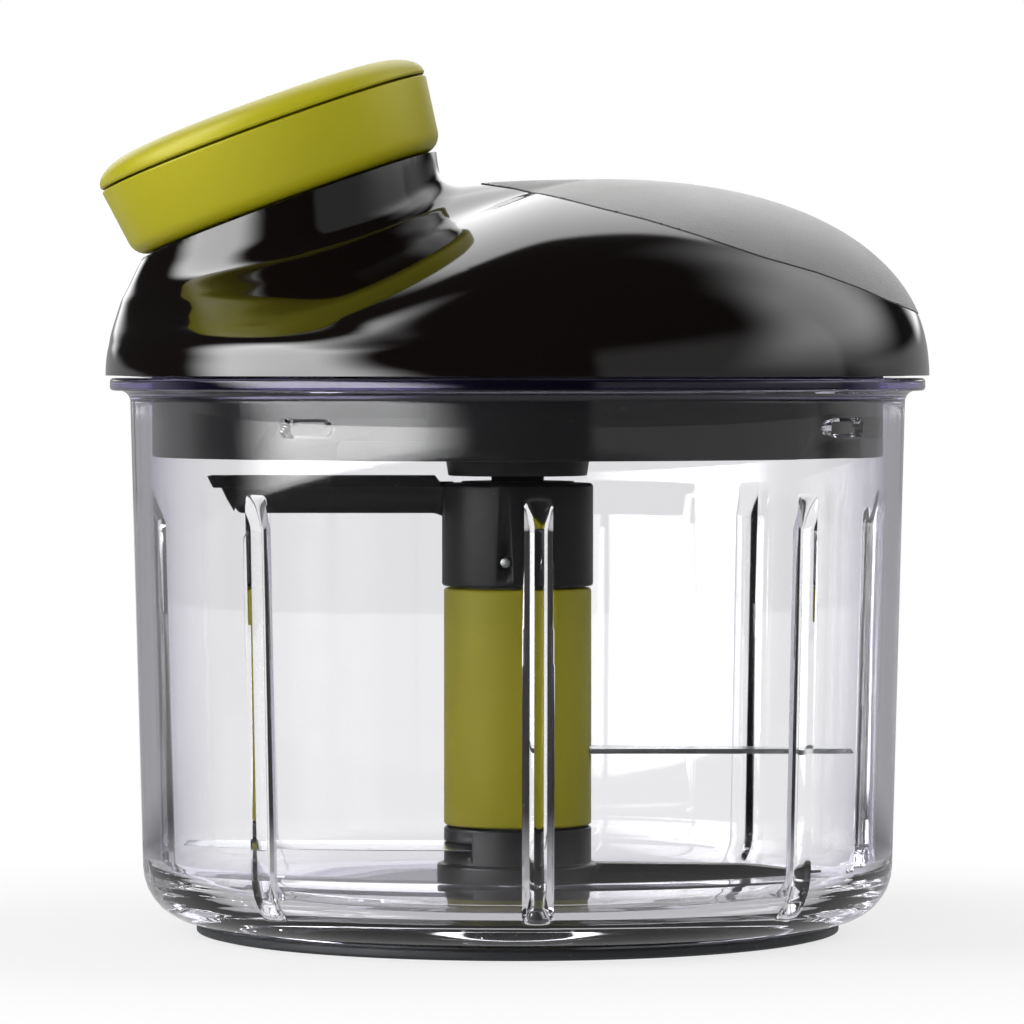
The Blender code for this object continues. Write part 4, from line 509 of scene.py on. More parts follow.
lidShape = {
    "rim": 0.0657, "rimHeight": 0.0890, "top": 0.1202, "humpCentre": 0.0130,
    "squareness": ((0, 2.25), (60, 2.1), (100, 1.85), (140, 1.4), (160, 1.65), (180, 2.25)),
    "neckTop": (-0.0364, 0.1162), "neckTilt": 20.0, "neckRadius": 0.0249, "neckFoot": (0.0652, 0.0900),
    "neckHeights": (0.0892, 0.0912, 0.0930, 0.0948, 0.0965, 0.0985, 0.1010, 0.1040, 0.1075, 0.1110, 0.1250),
    "neckRadii": (0.0652, 0.0648, 0.0637, 0.0607, 0.0557, 0.0477, 0.0384, 0.0302, 0.0253, 0.0249, 0.0249),
    "wall": 0.0023, "softness": (0.00035, 2, 55), "padSoftness": (0.00025, 2, 55), "neckCap": 0.003,
    # rays from a point low in the lid: how many, how far up, their first length and how they close in
    "rayFrom": (-0.018, 0.0890), "columns": 288, "rows": 112, "climb": 89.2, "rayReach": 0.100,
    "rayRounds": 70, "rayStep": 0.6, "neckRounds": 22,
    "filletHeights": (0.094, 0.101, 0.108, 0.114), "fillets": (0.0012, 0.0070, 0.0065, 0.0038),
    "padFrom": -0.0078, "padDepth": 0.0012, "padSeam": 0.00016, "padProud": 0.00012, "padThickness": 0.0010,
    "padEdge": (
        (-0.0080, 0.1198), (-0.0004, 0.1185), (0.0132, 0.1146), (0.0196, 0.1129), (0.0276, 0.1104),
        (0.0374, 0.1071), (0.0460, 0.1048), (0.0529, 0.1025), (0.0577, 0.1006), (0.0640, 0.0986),
    ),
}
neckFrame = Matrix.Translation((lidShape["neckTop"][0], 0, lidShape["neckTop"][1])) @ Matrix.Rotation(
    math.radians(-lidShape["neckTilt"]), 4, "Y"
)
pullAxis = (neckFrame.to_3x3() @ Vector((0, 0, 1))).normalized()


def smoothThrough(value, stations, levels):
    # a curve through the given levels whose slope never overshoots
    stations, levels = np.array(stations), np.array(levels)
    steps = np.diff(levels) / np.diff(stations)
    slopes = np.concatenate(([steps[0]], np.where(steps[1:] * steps[:-1] > 0, 2, 0), [steps[-1]]))
    slopes[1:-1] *= steps[1:] * steps[:-1] / np.where(steps[1:] + steps[:-1] == 0, 1, steps[1:] + steps[:-1])
    index = np.clip(np.searchsorted(stations, value) - 1, 0, len(stations) - 2)
    width = stations[index + 1] - stations[index]
    share = np.clip((value - stations[index]) / width, 0, 1)
    rise = levels[index + 1] - levels[index]
    ease = share * share * (3 - 2 * share)
    lean = share * (1 - share) ** 2 * slopes[index] - share * share * (1 - share) * slopes[index + 1]
    return levels[index] + rise * ease + width * lean


def humpDistance(shape, spots):
    # the hump's meridians are superellipses whose squareness changes round the lid
    away = spots - np.array([shape["humpCentre"], 0, shape["rimHeight"]])
    angle = np.arctan2(away[:, 1], away[:, 0])
    folded = np.degrees(np.abs(angle))
    power = smoothThrough(folded, *zip(*shape["squareness"]))
    along = shape["humpCentre"] * np.cos(angle)
    reach = np.sqrt(shape["rim"] ** 2 - shape["humpCentre"] ** 2 + along**2) - along
    wide = np.hypot(away[:, 0], away[:, 1]) / reach
    high = np.maximum(away[:, 2], 0) / (shape["top"] - shape["rimHeight"])
    scale = np.maximum((wide**power + high**power) ** (1 / power), 1e-3)
    return np.linalg.norm(away, axis=1) * (1 - 1 / scale)


def neckDistance(shape, spots):
    # the neck is a family of tilted circles that level out and widen into the rim
    topX, topZ = shape["neckTop"]
    footRadius, footZ = shape["neckFoot"]

    def circleAt(share):
        height = topZ + (footZ - topZ) * share
        radius = smoothThrough(height, shape["neckHeights"], shape["neckRadii"])
        flare = (radius - shape["neckRadius"]) / (footRadius - shape["neckRadius"])
        tilt = np.radians(shape["neckTilt"]) * (1 - np.clip(share, 0, 1)) ** 2
        middle = topX * (1 - flare) - np.tan(tilt) * np.maximum(height - topZ, 0)
        return height, middle, tilt, radius

    low = np.full(len(spots), -2.0)
    high = np.ones(len(spots))
    for _ in range(shape["neckRounds"]):
        share = (low + high) / 2
        height, middle, tilt, radius = circleAt(share)
        above = -np.sin(tilt) * (spots[:, 0] - middle) + np.cos(tilt) * (spots[:, 2] - height)
        low = np.where(above < 0, share, low)
        high = np.where(above < 0, high, share)
    height, middle, tilt, radius = circleAt((low + high) / 2)
    centre = np.stack([middle, np.zeros(len(spots)), height], axis=1)
    side = np.linalg.norm(spots - centre, axis=1) - radius
    cap = (spots - np.array([topX, 0, topZ])) @ np.array(pullAxis) - shape["neckCap"]
    return np.maximum(side, cap)


def lidDistance(shape, spots):
    hump = humpDistance(shape, spots)
    neck = neckDistance(shape, spots)
    fillet = np.interp(spots[:, 2], shape["filletHeights"], shape["fillets"])
    overlap = np.maximum(fillet - np.abs(hump - neck), 0) / fillet
    return np.minimum(hump, neck) - overlap * overlap * fillet / 4


def lidSurface(shape):
    # rays find the blended surface; the neck's top is then cut flat
    columns, rows = shape["columns"], shape["rows"]
    origin = np.array([shape["rayFrom"][0], 0, shape["rayFrom"][1]])
    turn = np.repeat(np.arange(columns) * 2 * np.pi / columns, rows)
    climb = np.tile(np.linspace(0, np.radians(shape["climb"]), rows), columns)
    rays = np.stack([np.cos(climb) * np.cos(turn), np.cos(climb) * np.sin(turn), np.sin(climb)], axis=1)
    reach = np.full(len(rays), shape["rayReach"])
    for _ in range(shape["rayRounds"]):
        reach -= shape["rayStep"] * lidDistance(shape, origin + rays * reach[:, None])
    spots = origin + rays * reach[:, None]
    mesh = bmesh.new()
    verts = [mesh.verts.new(tuple(spot)) for spot in spots]
    for column in range(columns):
        here, there = column * rows, ((column + 1) % columns) * rows
        for row in range(rows - 1):
            corners = here + row, there + row, there + row + 1, here + row + 1
            mesh.faces.new([verts[corner] for corner in corners])
    mesh.faces.new([verts[column * rows + rows - 1] for column in range(columns)])
    cutByPlane(mesh, neckFrame.translation, pullAxis, clear_outer=True)
    return mesh


def innerSkin(mesh, wall):
    # a second skin inside the first, joined to it along every open edge
    mesh.normal_update()
    faces = list(mesh.faces)
    borders = [edge for edge in mesh.edges if edge.is_boundary]
    twins = {vert: mesh.verts.new(vert.co - vert.normal * wall) for vert in list(mesh.verts)}
    for face in faces:
        mesh.faces.new([twins[vert] for vert in reversed(face.verts)])
    for edge in borders:
        loop = edge.link_loops[0]
        first, second = loop.vert, loop.link_loop_next.vert
        mesh.faces.new((second, first, twins[first], twins[second]))


def padEdgeHeight(shape, x):
    return float(np.interp(x, *zip(*shape["padEdge"])))


def insidePad(shape, spot):
    return spot.x > shape["padFrom"] and spot.z > padEdgeHeight(shape, spot.x)


def cutByPlane(mesh, spot, way, **options):
    everything = list(mesh.verts) + list(mesh.edges) + list(mesh.faces)
    bmesh.ops.bisect_plane(mesh, geom=everything, plane_co=spot, plane_no=way, dist=1e-6, **options)


def cutAlongPad(mesh, shape, inset):
    # the surface is sheared level along the pad's edge, cut by a plane, and sheared back
    for sign in (-1, 1):
        for vert in mesh.verts:
            vert.co.z += sign * (padEdgeHeight(shape, vert.co.x) + inset)
        if sign < 0:
            cutByPlane(mesh, (0, 0, 0), (0, 0, 1))
    cutByPlane(mesh, (shape["padFrom"] + inset, 0, 0), (1, 0, 0))


def makeLidShell(shape):
    mesh = lidSurface(shape)
    cutAlongPad(mesh, shape, 0.0)
    mesh.faces.ensure_lookup_table()
    outer = list(mesh.faces)
    innerSkin(mesh, shape["wall"])
    region = [face for face in outer if insidePad(shape, face.calc_center_median())]
    sunk = bmesh.ops.extrude_face_region(mesh, geom=region)
    bmesh.ops.delete(mesh, geom=region, context="FACES")
    mesh.normal_update()
    moved = {}
    for item in sunk["geom"]:
        if isinstance(item, bmesh.types.BMVert):
            ways = [face.normal for face in item.link_faces if face in set(sunk["geom"])]
            moved[item] = sum(ways, Vector()).normalized() if ways else item.normal.copy()
    for vert, way in moved.items():
        vert.co -= way * shape["padDepth"]
    return newPiece("lidShell", mesh, plastics["lidGloss"], 40)


def makeGripPad(shape):
    mesh = lidSurface(shape)
    cutAlongPad(mesh, shape, shape["padSeam"])
    inset = Vector((shape["padSeam"], 0, shape["padSeam"]))
    outside = [face for face in mesh.faces if not insidePad(shape, face.calc_center_median() - inset)]
    bmesh.ops.delete(mesh, geom=outside, context="FACES")
    mesh.normal_update()
    for vert, way in [(vert, vert.normal.copy()) for vert in mesh.verts]:
        vert.co += way * shape["padProud"]
    innerSkin(mesh, shape["padThickness"])
    return newPiece("gripPad", mesh, plastics["gripMatte"], 40)


lidShell = makeLidShell(lidShape)
softenEdges(lidShell, *lidShape["softness"])
place(lidShell, "lid", ["lid_shell"])
gripPad = makeGripPad(lidShape)
softenEdges(gripPad, *lidShape["padSoftness"])
place(gripPad, "lid", ["grip_pad"])
print("lid and grip pad built")

handleShape = {
    "base": (
        (0.0014, 0.0004, 0.0003), (0.0160, 0.0004, 0.0003), (0.0160, -0.0009, 0.0002),
        (0.0180, -0.0009, 0.0002), (0.0180, 0.0004, 0.0003), (0.0259, 0.0004, 0.0030),
        (0.0275, 0.0121, 0.0003), (0.0254, 0.0121, 0.0002), (0.02275, 0.0025, 0.0010),
        (0.0045, 0.0025, 0.0002), (0.0045, 0.0042, 0.0002), (0.0014, 0.0042, 0.0002),
    ),
    "capRadius": 0.0275, "capLow": 0.0125, "capHeight": 0.0043, "capEdge": 0.0077, "capCrown": 0.0003,
    "capInset": 0.0002, "capLip": 0.0003, "plugTop": 0.0021, "sideSteps": 22, "crownSteps": 8,
    "plug": (
        (0.0175, 0.0144, 0), (0.0212, 0.0125, 0), (0.0206, 0.0095, 0.0002), (0.0223, 0.0095, 0.0002),
        (0.0248, 0.0125, 0),
    ),
    "guide": (
        (0.0014, -0.0048, 0.0002), (0.0040, -0.0048, 0.0003), (0.0040, -0.0030, 0.0003),
        (0.0207, -0.0030, 0.0004), (0.0207, -0.0080, 0.0002), (0.0223, -0.0080, 0.0002),
        (0.0223, -0.0012, 0.0004), (0.0022, -0.0012, 0.0006),
    ),
}


def capProfile(shape):
    # the pebble's side is a quarter of an ellipse that runs into a nearly flat crown
    lip = shape["capLow"] + shape["capLip"]
    crown = shape["capLow"] + shape["capHeight"]
    points = [(shape["capRadius"] - shape["capInset"], shape["capLow"]), (shape["capRadius"], lip)]
    for step in range(1, shape["sideSteps"] + 1):
        turn = math.pi / 2 * step / shape["sideSteps"]
        rise = (shape["capHeight"] - shape["capCrown"] - shape["capLip"]) * math.sin(turn)
        points.append((shape["capRadius"] - shape["capEdge"] * (1 - math.cos(turn)), lip + rise))
    edge = points[-1]
    for step in range(1, shape["crownSteps"] + 1):
        share = step / shape["crownSteps"]
        points.append((edge[0] * (1 - share), edge[1] + (crown - edge[1]) * (2 * share - share * share)))
    points[-1] = (0, crown)
    points.append((0, crown - shape["plugTop"]))
    return points + [tuple(point) for point in roundCorners(shape["plug"])]


handleCup = turnedPiece("handleCup", handleShape["base"], olive, 160, neckFrame)
place(handleCup, "handle", ["handle_base"])
handleCap = newPiece("handleCap", turnedMesh(capProfile(handleShape), 160, neckFrame), olive)
place(handleCap, "handle", ["handle_cap"])
cordEyelet = turnedPiece("cordEyelet", handleShape["guide"], charcoal, 128, neckFrame)
place(cordEyelet, "lid", ["cord_guide"])
print("handle built")

cordShape = {"radius": 0.0007, "low": -0.0071, "high": 0.0077, "around": 24, "rings": 61}


def makePullCord(shape):
    rings = []
    for step in range(shape["rings"]):
        height = shape["low"] + (shape["high"] - shape["low"]) * step / (shape["rings"] - 1)
        ring = []
        for side in range(shape["around"]):
            turn = math.tau * side / shape["around"]
            ring.append(neckFrame @ Vector(onCircle(shape["radius"], turn, height)))
        rings.append(ring)
    return newPiece("pullCord", loftMesh(rings), cordWeave, 60)


pullCord = makePullCord(cordShape)
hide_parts("pull_cord")
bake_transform(pullCord)

collarShape = {
    "outline": (
        (0.0063, 0.0730, 0.0002), (0.0111, 0.0730, 0.0003), (0.0116, 0.0762, 0.0010),
        (0.0116, 0.0904, 0.0008), (0.0197, 0.0904, 0.0004), (0.0197, 0.0874, 0.0003),
        (0.0261, 0.0874, 0.0003), (0.0261, 0.0904, 0.0004), (0.0548921, 0.0904, 0.0008),
        (0.0548921, 0.0762, 0.0003), (0.0583921, 0.0762, 0.0004), (0.0583921, 0.0904, 0.0003),
        (0.0626, 0.0904, 0.0003), (0.0626, 0.0924, 0.0003), (0.0144, 0.0924, 0.0002),
        (0.0144, 0.0931, 0.0002), (0.0128, 0.0931, 0.0002), (0.0128, 0.0924, 0.0002),
        (0.0079, 0.0924, 0.0002), (0.0079, 0.0936, 0.0002), (0.0063, 0.0936, 0.0002),
    ),
    "radius": 0.0583921, "grooveFloor": 0.0562965, "bottom": 0.0762, "slotLow": 0.0792, "slotHigh": 0.0828,
    "entry": 0.0051, "ramp": 0.0062, "rampBow": 0.125, "travel": 14.0, "clearance": 0.0006, "past": 0.0020,
    "slotRounding": 0.0009, "entryDrop": 0.0008, "pitch": 0.0012, "rampSteps": 12, "roundSteps": 6,
    "postCircle": 0.05, "posts": 3, "postFirst": 30, "hole": 0.0013, "holeLow": 0.086, "holeHigh": 0.095,
    "softness": (0.00025, 2, 50),
}


def slotOutline(shape):
    # the bayonet groove seen from outside: a bowed ramp, the entry, then the level run with a rounded end
    below = shape["bottom"] - shape["past"]
    level, low = shape["slotHigh"], shape["slotLow"]
    rounding, entry = shape["slotRounding"], shape["entry"]
    points = []
    for step in range(shape["rampSteps"] + 1):
        share = step / shape["rampSteps"]
        bowed = share + math.sin(math.pi * share) * shape["rampBow"]
        height = shape["bottom"] + (level - shape["bottom"]) * bowed
        points.append((-entry - shape["ramp"] * (1 - share), min(height, level)))
    end = entry + math.radians(shape["travel"]) * shape["radius"] - rounding
    for base, first in ((level - rounding, 1), (low + rounding, 0)):
        for step in range(shape["roundSteps"] + 1):
            turn = math.pi / 2 * (first - step / shape["roundSteps"])
            points.append((end + rounding * math.cos(turn), base + rounding * math.sin(turn)))
    points += [(entry + shape["clearance"], low), (entry, low - shape["entryDrop"])]
    points += [(entry, below), (-entry - shape["ramp"], below)]
    fine = []
    for first, second in zip(points, points[1:] + points[:1]):
        fine += between(first, second, max(1, math.ceil(abs(second[0] - first[0]) / shape["pitch"])))
    return fine


def makeSlotTool(shape, angle):
    mesh = bmesh.new()
    loops = []
    for radius in (shape["grooveFloor"], shape["radius"] + shape["past"]):
        loop = []
        for distance, height in slotOutline(shape):
            turn = math.radians(angle) + distance / shape["radius"]
            loop.append(mesh.verts.new(fromFront(radius, turn, height)))
        loops.append(loop)
    count = len(loops[0])
    for index in range(count):
        mesh.faces.new((loops[0][index - 1], loops[0][index], loops[1][index], loops[1][index - 1]))
    mesh.faces.new(loops[0])
    mesh.faces.new(loops[1])
    return newPiece(f"slotTool{angle:.0f}", mesh, charcoal)


collar = turnedPiece("lidCollar", collarShape["outline"], charcoal, 192, steps=4)
lugAngles = [bowlShape["lugFirst"] + 360 / bowlShape["lugs"] * index for index in range(bowlShape["lugs"])]
slotTools = [makeSlotTool(collarShape, angle) for angle in lugAngles]
holeOutline = rodOutline(collarShape["hole"], collarShape["holeLow"], collarShape["holeHigh"])
for index in range(collarShape["posts"]):
    turn = math.radians(collarShape["postFirst"] + 360 / collarShape["posts"] * index)
    centre = Matrix.Translation(onCircle(collarShape["postCircle"], turn))
    slotTools.append(turnedPiece(f"postHole{index}", holeOutline, charcoal, 32, centre))
cutWith(collar, slotTools)
softenEdges(collar, *collarShape["softness"])
place(collar, "lid", ["lid_base"])

sealShape = {
    "outline": (
        (0.05965, 0.0889, 0.0004), (0.06225, 0.0889, 0.0004), (0.06225, 0.0901, 0.0004),
        (0.05965, 0.0901, 0.0004),
    ),
}
seal = turnedPiece("rimSeal", sealShape["outline"], plastics["sealSilicone"], 160)
place(seal, "seal", ["seal_ring"])
print("cord, collar and seal built")

columnShape = {
    "core": 0.0083, "sleeve": 0.0118, "sleeveLow": 0.0172, "sleeveHigh": 0.0551,
    "coreEdge": 0.0002, "sleeveEdge": 0.0005,
    "upperCollar": (
        (0, 0.0649, 0), (0.0083, 0.0649, 0.0002), (0.0083, 0.0554, 0.0002), (0.0121, 0.0554, 0.0005),
        (0.0121, 0.0718, 0.0006), (0.0090, 0.0718, 0.0002), (0.0090, 0.0721, 0.0001), (0, 0.0721, 0),
    ),
    "lowerCollar": (
        (0.0056, 0.0071, 0.0002), (0.0129, 0.0071, 0.0005), (0.0129, 0.0111, 0.0005),
        (0.0118, 0.0111, 0.0003), (0.0118, 0.0169, 0.0004), (0.0083, 0.0169, 0.0002), (0.0083, 0.0081, 0),
        (0.0056, 0.0081, 0.0002),
    ),
    "dog": (0.0090, 0.0042), "dogTurns": (0, -14), "dogLow": 0.0629, "dogHigh": 0.0741,
    "pinHeight": 0.0594, "pinHole": 0.00115, "pinHoleHalf": 0.0140, "pinAngle": -9.5,
    "clearanceRadius": 0.0100, "clearanceHigh": 0.017,
}


def platePiece(name, outline, low, high, material, matrix=None):
    mesh = loftMesh([[(x, y, low) for x, y in outline], [(x, y, high) for x, y in outline]])
    if matrix:
        bmesh.ops.transform(mesh, matrix=matrix, verts=mesh.verts)
    return newPiece(name, mesh, material)


def boxOutline(length, width, angle):
    turn = math.radians(angle)
    sine, cosine = math.sin(turn), math.cos(turn)
    corners = [(x * length / 2, y * width / 2) for x, y in ((-1, -1), (1, -1), (1, 1), (-1, 1))]
    return [(x * cosine - y * sine, x * sine + y * cosine) for x, y in corners]


bladeShape = {
    "reach": 0.0540, "lead": 0.0094, "trail": 0.0026, "root": 0.14, "belly": 0.72, "thick": 0.0008,
    "edge": 0.00012, "grind": 0.0022, "steps": 36, "rootSteps": 12, "levels": (0.0136, 0.0286),
    "angles": (180, 0), "gap": 0.0003,
}


def bladeOutline(shape, grow):
    inner = columnShape["core"] - grow
    back, front = -shape["trail"] - grow, shape["lead"] + grow
    root = shape["reach"] * shape["root"]
    start, end = math.asin(back / inner), math.acos(root / columnShape["sleeve"])
    fixed = []
    for step in range(shape["rootSteps"] + 1):
        turn = end + (start - end) * step / shape["rootSteps"]
        fixed.append((inner * math.cos(turn), inner * math.sin(turn)))
    fixed.append((shape["reach"] - shape["trail"] / 4 + grow, back))
    tip = (shape["reach"] + grow, back + shape["trail"] / 2)
    belly, heel = (shape["reach"] * shape["belly"], front), (root, front)
    ground = []
    for step in range(shape["steps"] + 1):
        share = step / shape["steps"]
        parts = (1 - share) ** 2, 2 * share * (1 - share), share**2
        ground.append(tuple(tip[a] * parts[0] + belly[a] * parts[1] + heel[a] * parts[2] for a in (0, 1)))
    return fixed, ground


def makeBlade(shape, name, height, angle):
    fixed, ground = bladeOutline(shape, 0)
    rings = []
    for level, inset in ((0, 0), (shape["edge"], 0), (shape["thick"], shape["grind"])):
        moved = [(x - inset * (x / shape["reach"]) ** 2, y - inset) for x, y in ground]
        moved = [(max(x, shape["reach"] * shape["root"]), max(y, -shape["trail"])) for x, y in moved]
        rings.append([(x, y, height + level) for x, y in fixed + moved])
    mesh = loftMesh(rings)
    bmesh.ops.transform(mesh, matrix=Matrix.Rotation(math.radians(angle), 4, "Z"), verts=mesh.verts)
    return newPiece(name, mesh, bladeSteel, 20)


def bladeSlotTool(shape, index, material):
    # what the blade's slot takes out of the column
    fixed, ground = bladeOutline(shape, shape["gap"])
    low = shape["levels"][index] - shape["gap"]
    high = shape["levels"][index] + shape["thick"] + shape["gap"]
    matrix = Matrix.Rotation(math.radians(shape["angles"][index]), 4, "Z")
    return platePiece(f"bladeSlotTool{index}", fixed + ground, low, high, material, matrix)


for index, (name, node) in enumerate((("lowerBlade", "lower_blade"), ("upperBlade", "upper_blade"))):
    blade = makeBlade(bladeShape, name, bladeShape["levels"][index], bladeShape["angles"][index])
    place(blade, "blade_unit", [node])

sleeveOutline = (
    (columnShape["core"], columnShape["sleeveLow"], columnShape["coreEdge"]),
    (columnShape["sleeve"], columnShape["sleeveLow"], columnShape["sleeveEdge"]),
    (columnShape["sleeve"], columnShape["sleeveHigh"], columnShape["sleeveEdge"]),
    (columnShape["core"], columnShape["sleeveHigh"], columnShape["coreEdge"]),
)
sleeve = turnedPiece("gripSleeve", sleeveOutline, olive, 128)
cutWith(sleeve, [bladeSlotTool(bladeShape, 1, olive)])
place(sleeve, "blade_unit", ["grip_sleeve"])

sweeperShape = {
    "reach": 0.0487, "width": 0.0070, "base": 0.0071, "height": 0.0040, "rings": 25,
    "stations": (0.19, 0.72, 0.86, 0.94, 1), "widths": (0.95, 0.77, 0.6, 0.43, 0.26),
    "lows": (0, 0.12, 0.21, 0.28, 0.33), "highs": (1, 0.93, 0.84, 0.77, 0.64),
    "footRounding": 0.0003, "rounding": 0.0004,
}


def makeSweeper(shape):
    rings = []
    first, *_ = shape["stations"]
    for step in range(shape["rings"]):
        station = first + (1 - first) * step / (shape["rings"] - 1)
        width, low, high = (
            float(np.interp(station, shape["stations"], shape[key])) for key in ("widths", "lows", "highs")
        )
        half = shape["width"] / 2 * width
        low, high = shape["base"] + shape["height"] * low, shape["base"] + shape["height"] * high
        bevel = (high - low) / 3
        foot, edge = shape["footRounding"], shape["rounding"]
        side = [(-half, low, foot), (half, low, foot), (half, high - bevel, edge)]
        side += [(half - bevel / 2, high, edge), (bevel - half, high, edge), (-half, high - bevel, edge)]
        rings.append([(shape["reach"] * station, point.x, point.y) for point in roundCorners(side, 3)])
    return newPiece("sweeperArm", loftMesh(rings), charcoal)


lowerCollar = turnedPiece("lowerCollar", columnShape["lowerCollar"], charcoal, 128)
sweeper = makeSweeper(sweeperShape)
clearanceOutline = rodOutline(columnShape["clearanceRadius"], 0, columnShape["clearanceHigh"])
clearance = turnedPiece("columnClearance", clearanceOutline, charcoal, 64)
cutWith(sweeper, [clearance])
cutWith(lowerCollar, [sweeper], "UNION")
cutWith(lowerCollar, [bladeSlotTool(bladeShape, 0, charcoal)])
place(lowerCollar, "blade_unit", ["lower_collar"])

armShape = {
    "flange": (
        (-0.0101, 0.0711), (-0.0101, 0.0714), (-0.0121, 0.0714), (-0.0133, 0.0730), (-0.0495, 0.0730),
        (-0.04855, 0.0711),
    ),
    "web": ((-0.0101, 0.0658), (-0.0101, 0.07205), (-0.0480, 0.07205), (-0.0450, 0.0670), (-0.0133, 0.0670)),
    "flangeWidth": 0.0080, "webThickness": 0.0024, "rounding": 0.0004,
}


def makeUpperCollar(column, arm):
    collar = turnedPiece("upperCollar", column["upperCollar"], charcoal, 128)
    upright = Matrix.Rotation(math.pi / 2, 4, "X")
    parts = []
    for name, width in (("flange", arm["flangeWidth"]), ("web", arm["webThickness"])):
        plate = platePiece(name, arm[name], -width / 2, width / 2, charcoal, upright)
        parts.append(softenEdges(plate, arm["rounding"], 3, 20))
    cutWith(collar, parts, "UNION")
    tools = []
    for angle in column["dogTurns"]:
        outline = boxOutline(*column["dog"], angle)
        tools.append(platePiece(f"dogSocket{-angle}", outline, column["dogLow"], column["dogHigh"], charcoal))
    bar = rodOutline(column["pinHole"], -column["pinHoleHalf"], column["pinHoleHalf"])
    tools.append(turnedPiece("pinHoleTool", bar, charcoal, 32, pinPlace))
    return cutWith(collar, tools)


pinPlace = (
    Matrix.Translation((0, 0, columnShape["pinHeight"]))
    @ Matrix.Rotation(math.radians(columnShape["pinAngle"]), 4, "Z")
    @ Matrix.Rotation(math.pi / 2, 4, "X")
)
upperCollar = makeUpperCollar(columnShape, armShape)
place(upperCollar, "blade_unit", ["upper_collar"])
print("blade column built")

shaftShape = {
    "outline": ((0, 0.0733, 0), (0.0060, 0.0733, 0.0004), (0.0060, 0.0939, 0.0002), (0, 0.0939, 0)),
    "dog": (0.0084, 0.0036, 0.0663, 0.0743), "spigot": (0.0070, 0.0070, 0.0929, 0.0977), "rounding": 0.0003,
    "pilot": (0.0013, 0.0888, 0.1),
}


def makeDriveShaft(shape):
    # dog and spigot are given by length, width, lower and upper end
    shaft = turnedPiece("driveShaft", shape["outline"], charcoal, 96)
    blocks = []
    for name in ("dog", "spigot"):
        length, width, low, high = shape[name]
        block = platePiece(name, boxOutline(length, width, 0), low, high, charcoal)
        blocks.append(softenEdges(block, shape["rounding"]))
    cutWith(shaft, blocks, "UNION")
    return cutWith(shaft, [turnedPiece("shaftPilot", rodOutline(*shape["pilot"]), charcoal, 32)])


place(makeDriveShaft(shaftShape), "drive", ["drive_shaft"])

pinShape = {"radius": 0.00085, "half": 0.0118, "rounding": 0.0002}
pinOutline = rodOutline(pinShape["radius"], -pinShape["half"], pinShape["half"], pinShape["rounding"])
crossPin = turnedPiece("crossPin", pinOutline, pinSteel, 48, pinPlace)
place(crossPin, "blade_unit", ["cross_pin"])


# small works that repeat or follow a path are grown by geometry nodes
def newTree(name, sizes):
    tree = bpy.data.node_groups.new(name, "GeometryNodeTree")
    addSocket(tree, "Geometry", "Geometry", "INPUT")
    for key, value in sizes.items():
        addSocket(tree, key, "Int" if isinstance(value, int) else "Float", "INPUT", value)
    addSocket(tree, "finish", "Material", "INPUT")
    addSocket(tree, "Geometry", "Geometry", "OUTPUT")
    return tree, tree.nodes.new("NodeGroupInput")


def endTree(tree, given, geometry):
    real = addNode(tree, "GeometryNodeRealizeInstances", Geometry=geometry)
    painted = addNode(tree, "GeometryNodeSetMaterial", Geometry=real, Material=given.outputs["finish"])
    tree.links.new(painted, tree.nodes.new("NodeGroupOutput").inputs[0])


def grownPiece(name, tree, spots, sizes, material, chained=False, smoothAngle=32):
    data = bpy.data.meshes.new(name)
    chain = [(index, index + 1) for index in range(len(spots) - 1)] if chained else []
    data.from_pydata([tuple(spot) for spot in spots], chain, [])
    seed = bpy.data.objects.new(name, data)
    bpy.context.scene.collection.objects.link(seed)
    modifier = seed.modifiers.new(name, "NODES")
    modifier.node_group = tree
    values = dict(sizes, finish=material)
    for item in tree.interface.items_tree:
        if item.in_out == "INPUT" and item.name in values:
            modifier[item.identifier] = values[item.name]
    bakeModifiers(seed)
    mesh = bmesh.new()
    mesh.from_mesh(seed.data)
    bpy.data.objects.remove(seed, do_unlink=True)
    return newPiece(name, mesh, material, smoothAngle)


screwShape = {
    "headRadius": 0.0022, "headHeight": 0.0014, "driveDepth": 0.30, "driveShare": 0.5, "headSides": 48,
    "shankRadius": 0.0009, "shankLength": 0.0080, "shankSides": 24, "turnOver": 0.0,
    "threadPitch": 0.0008, "threadDepth": 0.0002, "threadShare": 0.9, "threadSteps": 20,
}
# the head's outline from its underside over the dome and down into the drive, as shares of height and radius
headOutline = (
    (0.00, 0.95), (0.04, 1.00), (0.42, 1.00), (0.62, 0.96), (0.80, 0.87), (0.92, 0.74), (0.98, 0.60),
    (0.98, 0.46), (0.30, 0.44),
)


